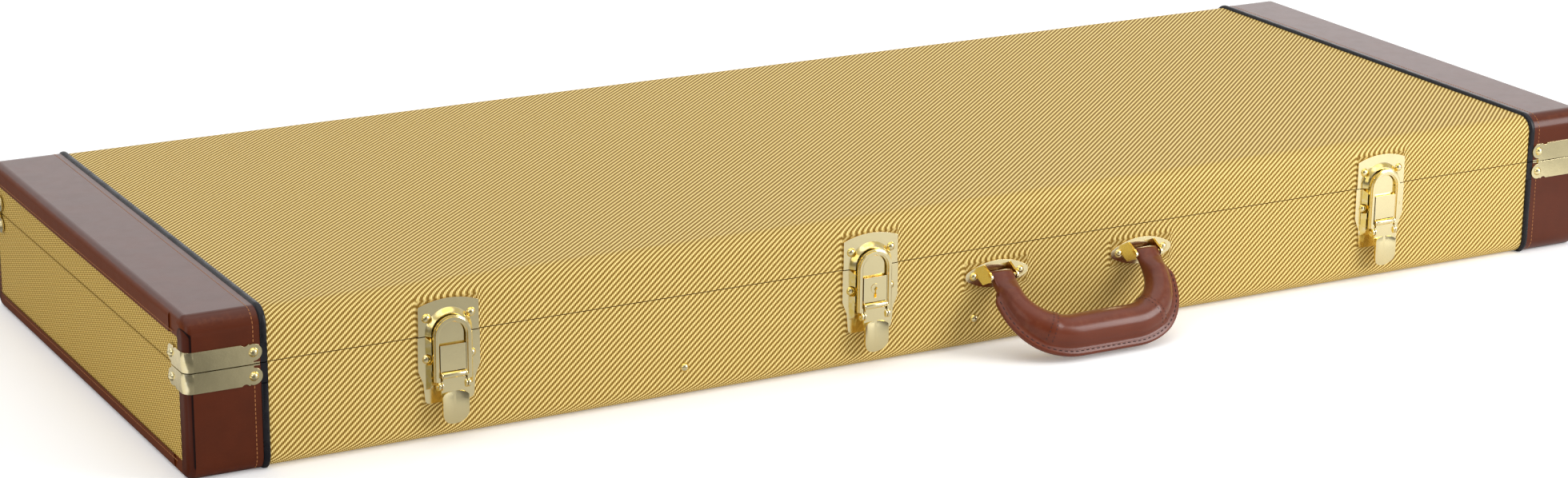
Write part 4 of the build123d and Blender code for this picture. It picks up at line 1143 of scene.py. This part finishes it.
@dataclass
class LeatherEnds:
    """The leather ends, their piping and the orange thread that sews them down."""

    edge_rounding: float = 10.8
    base_rounding_drop: float = 0.7
    beside_piping: float = 4.0
    beside_window: float = 2.0
    fold_half_width: float = 7.15
    fold_margin: float = 2.0
    fold_depth: float = 0.8
    clamp_reach: float = 14.2
    sunk: float = 0.1

    def above_clamp(self, half: Half) -> float:
        """The height at which the stitches start, clear of the clamps."""
        return SEAM_HEIGHT + (self.clamp_reach if half is Half.LID else -self.clamp_reach)

    def ring(self, half: Half, side: Side) -> list[Point]:
        """The line of stitches beside the piping, round one leather end.

        Args:
            half: The shell.
            side: The end.

        Returns:
            Its points, in millimetres.
        """
        low, high = box_mm(f"{half.value}_{side.value}_leather_end")
        x = low.x + self.beside_piping if side is Side.RIGHT else high.x - self.beside_piping
        outer, turn = high.y - self.sunk, self.edge_rounding - self.sunk
        if half is Half.LID:
            front = arc((-outer + turn, high.z - self.sunk - turn), turn, 180, 90)
        else:
            whole = arc((-outer + turn, turn - self.base_rounding_drop), turn, 180, 270)
            front = [(y, max(z, low.z + self.sunk)) for y, z in whole]
        path = [(-outer, self.above_clamp(half)), *front]
        path += [(-y, z) for y, z in reversed(path)]
        return [(x, y, z) for y, z in path]

    def window_lines(self, half: Half, side: Side) -> list[list[Point]]:
        """The lines of stitches round one window.

        Args:
            half: The shell.
            side: The end.

        Returns:
            The lines, in millimetres.
        """
        low, high = box_mm(f"{half.value}_{side.value}_leather_end")
        sign = 1 if side is Side.RIGHT else -1
        face_x = (high.x if side is Side.RIGHT else low.x) - sign * self.sunk
        pane_low, pane_high = box_mm(f"{half.value}_end_cloth")
        beside, reach = self.beside_window, pane_high.y - self.fold_half_width - self.fold_margin
        z = pane_high.z + beside if half is Half.LID else pane_low.z - beside
        lines = [[(face_x, -reach, z), (face_x, reach, z)]]
        recess_x = face_x - sign * self.fold_depth
        for y in (-pane_high.y - beside, pane_high.y + beside):
            lines.append([(recess_x, y, self.above_clamp(half)), (recess_x, y, z)])
        return lines

    def dress(self) -> None:
        """Finish the leather and piping, and sew the ends."""
        ends = [f"{half.value}_{side.value}_leather_end" for half in Half for side in Side]
        EndLeather("end_leather", "brown_leather").dress(ends)
        Piping("piping", "black_piping").dress(("base_piping", "lid_piping"))
        thread = Thread("orange_thread", "brown_leather")
        for half in Half:
            lines = []
            for side in Side:
                lines.append(self.ring(half, side))
                lines += self.window_lines(half, side)
            StitchRow(f"{half.value}_end_stitches", thread).sew(lines, Body(half.value))


# Brass fittings


@dataclass
class BrassFittings:
    """Clamps, draw latches, hinges, brackets and rivets, with their sharp edges broken."""

    edge: float = 0.42
    keen_angle: float = 38.0
    merged: float = 0.004
    plain: tuple[str, ...] = ("base_rivets", "lid_rivets")

    def break_edges(self, name: str) -> None:
        """Give one CAD node a small bevel that catches the light.

        Args:
            name: The node's name.
        """
        piece = frame["nodes"][name]
        piece.modifiers.new("joined", "WELD").merge_threshold = self.merged * MM
        bevel = piece.modifiers.new("broken_edges", "BEVEL")
        bevel.width = self.edge * MM
        bevel.segments = 2
        bevel.limit_method = "ANGLE"
        bevel.angle_limit = math.radians(self.keen_angle)
        bevel.harden_normals = False

    def dress(self) -> None:
        """Plate every fitting in brass and break its edges."""
        rows = frame["record"]["subparts"]
        fittings = [row["node"] for row in rows if row["material_slot"] == "brass"]
        Brass("brass", "brass").dress(fittings)
        for name in fittings:
            if name not in self.plain:
                self.break_edges(name)
        Steel("steel", "steel_pins").dress(("hinge_pins", "latch_lever_pins"))
        Rubber("rubber", "black_rubber").dress(("back_glides",))
        log.info("brass on %d fittings", len(fittings))


# Carrying handle


@dataclass
class CarryingHandle:
    """A stitched leather handle: a padded tube with a flange, wrapped over two bars."""

    centre_x: float = 85.7
    bar_y: float = -195.5
    bar_z: float = 48.6
    tilt: float = 45.0
    span: float = 111.0
    reach: float = 46.5
    bend: float = 34.0
    grip_radius: float = 11.3
    grip_swell: float = 0.5
    swell_reach: float = 30.0
    leg_radius: float = 8.0
    seam_place: float = 38.7
    seam_length: float = 6.0
    seam_proud: float = 0.45
    seam_stitches: float = 1.6
    flange_reach: float = 17.3
    flange_end_reach: float = 12.6
    flange_half: float = 1.7
    flange_root: float = 1.4
    flange_start: float = 10.0
    flange_rise: float = 7.0
    flange_stitches: float = 2.6
    eye_radius: float = 4.3
    eye_half_width: float = 8.5
    wrap_length: float = 4.5
    wrap_blend: float = 8.5
    bore: float = 1.68
    station: float = 1.6
    facets: int = 32
    stations: list[Station] = field(default_factory=list)

    def bar_place(self, offset: float = 0.0) -> Vector:
        """The middle between the bars, or a place along them."""
        return Vector((self.centre_x + offset, self.bar_y, self.bar_z))

    def local_axes(self) -> tuple[Vector, Vector, Vector]:
        """Lean the handle's own axes as it hangs at rest.

        Returns:
            Along the case, away from the bars, and square to both.
        """
        lean = math.radians(self.tilt)
        away = Vector((0, -math.sin(lean), -math.cos(lean)))
        return Vector((1, 0, 0)), away, Vector((0, -math.cos(lean), math.sin(lean)))

    def centre_line(self) -> list[tuple[float, float, float, float]]:
        """Follow the middle line of the tube, from one bar round to the other.

        Returns:
            For each station its place along the case and away from the bars, and the
            direction that the line runs in there.
        """
        half, reach, bend = self.span / 2, self.reach, self.bend
        leg = reach - bend
        straight = 2 * (half - bend)
        quarter = bend * math.pi / 2
        whole = 2 * leg + 2 * quarter + straight
        count = round(whole / self.station)
        line = []
        for step in range(count + 1):
            run = whole * step / count
            if run <= leg:
                line.append((-half, run, 0.0, 1.0))
            elif run <= leg + quarter:
                turn = (run - leg) / bend
                line.append((
                    -half + bend - bend * math.cos(turn), leg + bend * math.sin(turn),
                    math.sin(turn), math.cos(turn),
                ))
            elif run <= leg + quarter + straight:
                line.append((-half + bend + run - leg - quarter, reach, 1.0, 0.0))
            elif run <= leg + 2 * quarter + straight:
                turn = (run - leg - quarter - straight) / bend
                line.append((
                    half - bend + bend * math.sin(turn), leg + bend * math.cos(turn),
                    math.cos(turn), -math.sin(turn),
                ))
            else:
                line.append((half, whole - run, 0.0, -1.0))
        return line

    def tube_radius(self, run: float, whole: float) -> float:
        """The tube's radius at a distance along the middle line.

        Args:
            run: The distance from one bar.
            whole: The length of the line.

        Returns:
            The radius in millimetres.
        """
        off_middle = abs(run - whole / 2)
        leg = (off_middle - self.seam_place) / (whole / 2 - self.seam_place - self.flange_start)
        radius = self.grip_radius + (self.leg_radius - self.grip_radius) * eased(leg)
        band = math.exp(-(((off_middle - self.seam_place) / (self.seam_length / 2)) ** 4))
        swell = self.grip_swell * math.exp(-((off_middle / self.swell_reach) ** 2))
        return radius + self.seam_proud * band + swell

    def flange_tip(self, end: float, radius: float, whole: float) -> float:
        """How far the flange reaches from the middle line.

        Args:
            end: The distance from the nearer bar.
            radius: The tube's radius there.
            whole: The length of the line.

        Returns:
            The reach in millimetres.
        """
        from_start = end - self.flange_start
        along = eased(from_start / (whole / 2 - self.seam_place - self.flange_start))
        reach = self.flange_end_reach + (self.flange_reach - self.flange_end_reach) * along
        return radius + (reach - radius) * eased(from_start / self.flange_rise)

    def section(self, radius: float, tip: float, squash: float) -> list[tuple[float, float]]:
        """One closed section: outwards along the flange, and square to it.

        Args:
            radius: The tube's radius.
            tip: How far the flange reaches.
            squash: How far the tube is flattened into the wrap, 0 to 1.

        Returns:
            The section's points.
        """
        wide = radius + (self.eye_half_width - radius) * squash
        thick = radius + (self.eye_radius - radius) * squash
        half = self.flange_half
        first = math.degrees(math.asin(min((half + self.flange_root) / radius, 0.9)))
        ring = arc((0, 0), 1.0, first, 360 - first, self.facets)
        points = [(wide * x, thick * y) for x, y in ring]
        root = wide * math.cos(math.radians(first))
        body = [
            (root + 1.2, half + 0.35), (root + 2.4, half), (tip - 1.1, half),
            (tip - 0.3, 0.7 * half),
        ]
        hidden = tip < radius + 0.05
        upper = [(root + 0.2 if hidden else min(x, tip), y) for x, y in body]
        lower = [(x, -y) for x, y in upper]
        return [*points, *lower, (max(tip, root + 0.25), 0.0), *reversed(upper)]

    def surface(self, shape: Shape) -> None:
        """Loft the handle through its sections.

        Args:
            shape: The bmesh to fill.
        """
        along, away, square = self.local_axes()
        line = self.centre_line()
        whole = self.station * (len(line) - 1)
        rows = []
        for number, (x, y, run_x, run_y) in enumerate(line):
            run = whole * number / (len(line) - 1)
            end = min(run, whole - run)
            squash = 1 - min(max((end - self.wrap_length) / self.wrap_blend, 0.0), 1.0)
            radius = self.tube_radius(run, whole)
            tip = self.flange_tip(end, radius, whole)
            centre = self.bar_place() + along * x + away * y
            out = along * -run_y + away * run_x
            rows.append([
                shape.verts.new((centre + out * u + square * v) * MM)
                for u, v in self.section(radius, tip, squash)
            ])
            self.stations.append((centre, out, radius, tip))
        for near, far in zip(rows, rows[1:]):
            bridge(shape, near, far, closed=True)
        self.round_end(shape, rows[0], -1)
        self.round_end(shape, rows[-1], 1)

    def round_end(self, shape: Shape, rim: list[bmesh.types.BMVert], side: int) -> None:
        """Close one end with the leather's half-round turn over the bar.

        Args:
            shape: The bmesh.
            rim: The last row of the loft, at the bar's middle.
            side: -1 at the left bar, 1 at the right.
        """
        along, away, square = self.local_axes()
        centre = self.bar_place(side * self.span / 2)
        last = rim
        for degrees in (18, 36, 54, 70, 82):
            thin, round_over = math.cos(math.radians(degrees)), math.sin(math.radians(degrees))
            row = []
            for vert in rim:
                offset = vert.co / MM - centre
                flat = centre + along * offset.dot(along) + square * offset.dot(square) * thin
                row.append(shape.verts.new((flat - away * self.eye_radius * round_over) * MM))
            bridge(shape, last, row, closed=True)
            last = row
        shape.faces.new(last)

    def bored(self, piece: bpy.types.Object) -> bpy.types.Mesh:
        """Cut the bars' holes through the wraps.

        Args:
            piece: The uncut handle.

        Returns:
            The cut mesh.
        """
        def bar(shape: Shape) -> None:
            """Add the two cutters as one long rod.

            Args:
                shape: The bmesh to fill.
            """
            place = Matrix.Translation(self.bar_place() * MM)
            bmesh.ops.create_cone(
                shape, segments=24, radius1=self.bore * MM, radius2=self.bore * MM,
                depth=2 * self.span * MM, cap_ends=True,
                matrix=place @ Matrix.Rotation(math.pi / 2, 4, "Y"),
            )

        cutter = in_scene("bar_cutter", mesh_from(bar))
        cut = piece.modifiers.new("bores", "BOOLEAN")
        cut.operation = "DIFFERENCE"
        cut.solver = "EXACT"
        cut.object = cutter
        mesh = evaluated_mesh(piece)
        bpy.data.objects.remove(piece)
        bpy.data.objects.remove(cutter)
        return mesh

    def flange_line(self, side: int) -> list[Point]:
        """The line of stitches on one face of the flange.

        Args:
            side: 1 for the face that shows, -1 for the face behind.

        Returns:
            Its points, in millimetres.
        """
        skip = round((self.flange_start + self.flange_rise) / self.station)
        lift = self.local_axes()[2] * side * (self.flange_half - 0.05)
        return [
            tuple(centre + out * max(tip - self.flange_stitches, radius + self.flange_root) + lift)
            for centre, out, radius, tip in self.stations[skip:-skip]
        ]

    def wrap_lines(self) -> list[list[Point]]:
        """The double rings of stitches at the ends of the grip's wrap.

        Returns:
            The rings' points, in millimetres.
        """
        square = self.local_axes()[2]
        middle = (len(self.stations) - 1) / 2
        rings = []
        for side in (-1, 1):
            for offset in (-self.seam_stitches, self.seam_stitches):
                number = round(middle + side * (self.seam_place + offset) / self.station)
                centre, out, radius, _ = self.stations[number]
                ring = arc((0, 0), radius - 0.1, 24, 336, 40)
                rings.append([tuple(centre + out * u + square * v) for u, v in ring])
        return rings

    def build(self) -> None:
        """Make the handle and sew it."""
        mesh = self.bored(in_scene("handle_uncut", mesh_from(self.surface)))
        mesh.shade_smooth()
        leather = Leather(
            "handle_leather", "handle_leather", colour=(0.15, 0.029, 0.009, 1),
            rubbed=(0.22, 0.065, 0.026, 1), pebble=0.7, relief=0.14, roughness=0.3,
        )
        finish_piece(in_scene("handle", mesh), leather, Body.HANDLE, ("handle_grip",))
        thread = Thread("dark_thread", "handle_leather", colour=(0.055, 0.013, 0.008, 1))
        flange, wraps = [self.flange_line(side) for side in (-1, 1)], self.wrap_lines()
        StitchRow("handle_flange_stitches", thread, 3.9, 2.9, 0.42).sew(flange, Body.HANDLE)
        StitchRow("handle_wrap_stitches", thread, 2.6, 1.9, 0.28).sew(wraps, Body.HANDLE)


# Lining


@dataclass
class FoamBlock:
    """A block of foam that swells under its plush."""

    node: str
    fill: float = 0.8
    voxel: float = 5.0
    shrink: float = 2.0
    cap: float = 5.0
    pressure: float = 4.0
    frames: int = 20

    def settle(self, piece: bpy.types.Object) -> None:
        """Make the modifiers of a piece its own mesh.

        Args:
            piece: The piece.
        """
        piece.data = evaluated_mesh(piece)
        piece.modifiers.clear()

    def swell(self, piece: bpy.types.Object) -> None:
        """Blow the block up against its own cloth.

        Args:
            piece: The remeshed block.
        """
        cloth = piece.modifiers.new("cloth", "CLOTH")
        cloth.settings.use_pressure = True
        cloth.settings.uniform_pressure_force = self.pressure
        cloth.settings.effector_weights.gravity = 0.0
        cloth.settings.quality = 4
        cloth.point_cache.frame_end = self.frames
        for number in range(1, self.frames + 1):
            bpy.context.scene.frame_set(number)
        self.settle(piece)
        bpy.context.scene.frame_set(1)

    def hold(self, piece: bpy.types.Object, rest: Sequence[Vector]) -> None:
        """Keep the swollen block near its rest shape and inside the box of its CAD node.

        Args:
            piece: The swollen block.
            rest: Where its corners were before.
        """
        low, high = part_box(self.node)
        for vert, start in zip(piece.data.vertices, rest):
            moved = vert.co - start
            if moved.length > self.cap * MM:
                vert.co = start + moved.normalized() * self.cap * MM
            for axis in range(3):
                vert.co[axis] = min(max(vert.co[axis], low[axis]), high[axis])

    def build(self, plush: Plush) -> None:
        """Swell the block and let it stand for its CAD node.

        Args:
            plush: What covers it.
        """
        shape, margin = bmesh.new(), self.shrink * MM
        shape.from_mesh(frame["nodes"][self.node].data)
        bmesh.ops.remove_doubles(shape, verts=shape.verts, dist=1e-5)
        piece = in_scene(f"{self.node}_plush", mesh_of(shape))
        remesh = piece.modifiers.new("even_mesh", "REMESH")
        remesh.mode = "VOXEL"
        remesh.voxel_size = self.voxel * MM
        self.settle(piece)
        for vert in piece.data.vertices:
            vert.co -= vert.normal * margin
        rest = [vert.co.copy() for vert in piece.data.vertices]
        self.swell(piece)
        self.hold(piece, rest)
        finer = piece.modifiers.new("finer", "SUBSURF")
        finer.levels = finer.render_levels = 1
        self.settle(piece)
        piece.data.shade_smooth()
        finish_piece(piece, plush, Body.BASE, (self.node,))


@dataclass
class CrownedPad:
    """A closed board of plush, full in the middle and drawn in at its edges."""

    node: str
    body: Body
    rounding: float
    crown: float
    show: Show
    fill: float
    fade: float = 18.0
    lump_scale: float = 22.0
    lump_share: float = 0.25
    cuts: int = 31

    def rounded(self, target: Vector, half: Vector) -> Vector:
        """Bring a point of the box on to its rounded edges.

        Args:
            target: The point, from the pad's middle.
            half: Half the pad's size.

        Returns:
            The point on the rounded box.
        """
        rounding = self.rounding * MM
        inner = [max(side - rounding, 0.0) for side in half]
        core = Vector([min(max(part, -edge), edge) for part, edge in zip(target, inner)])
        away = target - core
        if away.length > 1e-9:
            return core + away.normalized() * min(rounding, min(half))
        return target

    def board(self, shape: Shape) -> None:
        """Add a rounded box with a fine grid on every side, crowned where it shows.

        Args:
            shape: The bmesh to fill.
        """
        low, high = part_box(self.node)
        centre, half = (low + high) / 2, (high - low) / 2
        bmesh.ops.create_cube(shape, size=2.0)
        bmesh.ops.subdivide_edges(shape, edges=shape.edges, cuts=self.cuts, use_grid_fill=True)
        for vert in shape.verts:
            spread = [math.sin(part * math.pi / 2) * side for part, side in zip(vert.co, half)]
            target = self.rounded(Vector(spread), half)
            from_edge = min(half.x - abs(target.x), half.y - abs(target.y))
            drawn = 1 - min(max(from_edge / (self.fade * MM), 0.0), 1.0)
            lumps = noise.noise(target * self.lump_scale) * self.lump_share * self.crown * MM
            for side in (-1, 1):
                if self.show.value in (0, side) and side * target.z > 0.2 * half.z:
                    target.z -= side * (self.crown * MM * drawn * drawn + max(lumps, 0.0))
            vert.co = centre + target

    def build(self, plush: Plush) -> None:
        """Make the pad and let it stand for its CAD node.

        Args:
            plush: What covers it.
        """
        piece = in_scene(f"{self.node}_plush", mesh_from(self.board))
        finish_piece(piece, plush, self.body, (self.node,))


@dataclass
class PullTab:
    """A leather tab sewn to the compartment's lid, its free end lifted a little."""

    node: str = "compartment_pull_tab"
    steps: int = 24
    lift: float = 2.2
    lift_start: float = 0.35
    lift_run: float = 0.42
    skived: float = 0.35
    seam_half_width: float = 4.6
    seam_setback: float = 2.2

    def strip(self, shape: Shape) -> None:
        """Add the strip as a closed shape, rounded at its free end.

        Args:
            shape: The bmesh to fill.
        """
        low, high = box_mm(self.node)
        middle, half_width = (low.x + high.x) / 2, (high.x - low.x) / 2
        upper, lower = [], []
        for step in range(self.steps + 1):
            share = step / self.steps
            y = high.y + (low.y - high.y) * share
            short = max(half_width - (y - low.y), 0.0)
            width = math.sqrt(max(half_width ** 2 - short ** 2, 0.09))
            lift = self.lift * max(share - self.lift_start, 0.0) ** 2 / self.lift_run
            for rows, z in ((upper, high.z + lift), (lower, low.z + lift)):
                rows.append([
                    shape.verts.new(
                        Vector((middle + part * (width - self.skived * abs(part)), y, z)) * MM
                    )
                    for part in (-1.0, -0.5, 0.0, 0.5, 1.0)
                ])
        for rows in (upper, lower):
            for near, far in zip(rows, rows[1:]):
                bridge(shape, near, far)
        for edge in (0, -1):
            bridge(shape, [row[edge] for row in upper], [row[edge] for row in lower])
            bridge(shape, upper[edge], lower[edge])

    def build(self) -> None:
        """Make the tab and sew it down."""
        leather = Leather("tab_leather", "brown_leather", pebble=0.8, relief=0.3)
        piece = in_scene("pull_tab", mesh_from(self.strip, smooth=False))
        finish_piece(piece, leather, Body.COVER, (self.node,))
        low, high = box_mm(self.node)
        middle, y, top = (low.x + high.x) / 2, high.y - self.seam_setback, high.z + 0.02
        line = [(middle + side * self.seam_half_width, y, top) for side in (-1, 1)]
        thread = Thread("orange_thread", "brown_leather")
        StitchRow("pull_tab_stitches", thread, 2.3, 1.7, 0.3).sew([line], Body.COVER)


@dataclass
class Lining:
    """The padded plush inside: swollen blocks, crowned pads and covered thin boards."""

    plush: Plush = field(default_factory=lambda: Plush("plush", "plush"))
    blocks: tuple[str, ...] = (
        "front_waist_block", "back_waist_block", "neck_side_block", "body_end_corner_blocks",
        "neck_rest_block",
    )

    def build(self) -> None:
        """Line the case."""
        self.plush.dress(("base_liner_boards",))
        pads = [
            CrownedPad("base_floor_pad", Body.BASE, 2.4, 0.5, Show.UP, 0.5),
            CrownedPad("lid_lining_pad", Body.LID, 2.4, 1.4, Show.DOWN, 0.6),
        ]
        for wall in ("left", "right", "long"):
            node = f"compartment_{wall}_wall"
            pads.append(CrownedPad(node, Body.BASE, 2.0, 0.2, Show.BOTH, 0.8))
        pads.append(CrownedPad("compartment_lid", Body.COVER, 1.8, 0.4, Show.UP, 0.8))
        for piece in (*pads, *(FoamBlock(node) for node in self.blocks)):
            piece.build(self.plush)
        PullTab().build()


# Studio


@dataclass
class Studio:
    """A pale floor, soft light and the camera at the photograph's angle."""

    camera_place: Point = (-1.138386, -2.032260, 0.744120)
    yaw: float = 28.77757
    pitch: float = 17.19141
    roll: float = 0.56637
    lens: float = 81.884
    lit_place: Point = (0, 0, 0.05)
    floor_size: float = 14.0
    floor_drop: float = 0.3
    sky: float = 0.75

    def light(self, name: str, place: Point, size: float, power: float) -> None:
        """Hang one soft box that faces the case.

        Args:
            name: Its name.
            place: Where it hangs.
            size: The side of its square.
            power: Its power in watts.
        """
        lamp = bpy.data.lights.new(name, "AREA")
        lamp.size = size
        lamp.energy = power
        hung = in_scene(name, lamp)
        hung.location = place
        aim = Vector(self.lit_place) - Vector(place)
        hung.rotation_euler = aim.to_track_quat("-Z", "Y").to_euler()

    def camera(self) -> None:
        """Stand the camera where the photograph was taken from."""
        yaw, pitch, roll = (math.radians(angle) for angle in (self.yaw, self.pitch, self.roll))
        forward = Vector((
            math.sin(yaw) * math.cos(pitch), math.cos(yaw) * math.cos(pitch), -math.sin(pitch)
        ))
        right = Vector((math.cos(yaw), -math.sin(yaw), 0))
        up = right.cross(forward)
        level = math.cos(roll) * right + math.sin(roll) * up
        rise = math.cos(roll) * up - math.sin(roll) * right
        turn = Matrix((level, rise, -forward)).transposed()
        lens = bpy.data.cameras.new("camera")
        lens.lens = self.lens
        lens.sensor_width = 36.0
        lens.clip_start = 0.05
        stand = in_scene("camera", lens)
        stand.matrix_world = Matrix.Translation(self.camera_place) @ turn.to_4x4()
        bpy.context.scene.camera = stand

    def sky_light(self) -> None:
        """Light the room from above and behind and leave it dim in front, for the metal to show."""
        world = bpy.data.worlds.new("room")
        world.use_nodes = True
        graph = Graph(world.node_tree)
        side, depth, height = graph.parts(graph.node("ShaderNodeTexCoord").outputs["Generated"])
        to_right = graph.span(side, -0.4, 0.9)
        low = graph.span(height, 0.3, 0.7, 1.0, 0.0)
        in_front = graph.times(low, graph.span(depth, -0.7, 0.0, 1.0, 0.0))
        at_back = graph.times(low, graph.span(depth, 0.2, 0.8))
        front = graph.mix(to_right, (0.16, 0.16, 0.17, 1), grey(0.7))
        behind = graph.mix(to_right, grey(1.15), grey(1.7))
        above = graph.mix(graph.span(height, 0.74, 0.86), grey(0.75), grey(2.0))
        tone = graph.mix(at_back, graph.mix(in_front, above, front), behind)
        shine = world.node_tree.nodes["Background"].inputs
        graph.feed(shine["Color"], tone)
        shine["Strength"].default_value = self.sky
        bpy.context.scene.world = world

    def floor(self, shape: Shape) -> None:
        """Add one large square, a hair below the case.

        Args:
            shape: The bmesh to fill.
        """
        half = self.floor_size / 2
        corners = [(-half, -half), (half, -half), (half, half), (-half, half)]
        shape.faces.new([shape.verts.new((x, y, -self.floor_drop * MM)) for x, y in corners])

    def build(self) -> None:
        """Set up floor, lights, room and camera."""
        floor = in_scene("floor", mesh_from(self.floor, smooth=False))
        floor.data.materials.append(PaleFloor("floor").material())
        self.light("key", (1.5, -1.6, 0.95), 1.1, 31)
        self.light("fill", (-2.0, -1.4, 1.0), 1.2, 5)
        self.sky_light()
        self.camera()
        bpy.context.scene.view_settings.view_transform = "Standard"
        log.info("floor, lights and camera stand")


def main() -> None:
    """Build and dress every sub-assembly in order."""
    logging.basicConfig(level=logging.INFO, format="%(name)s: %(message)s")
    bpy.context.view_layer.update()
    Coverings().dress()
    LeatherEnds().dress()
    BrassFittings().dress()
    CarryingHandle().build()
    Lining().build()
    Studio().build()


if __name__ == "__main__":
    main()
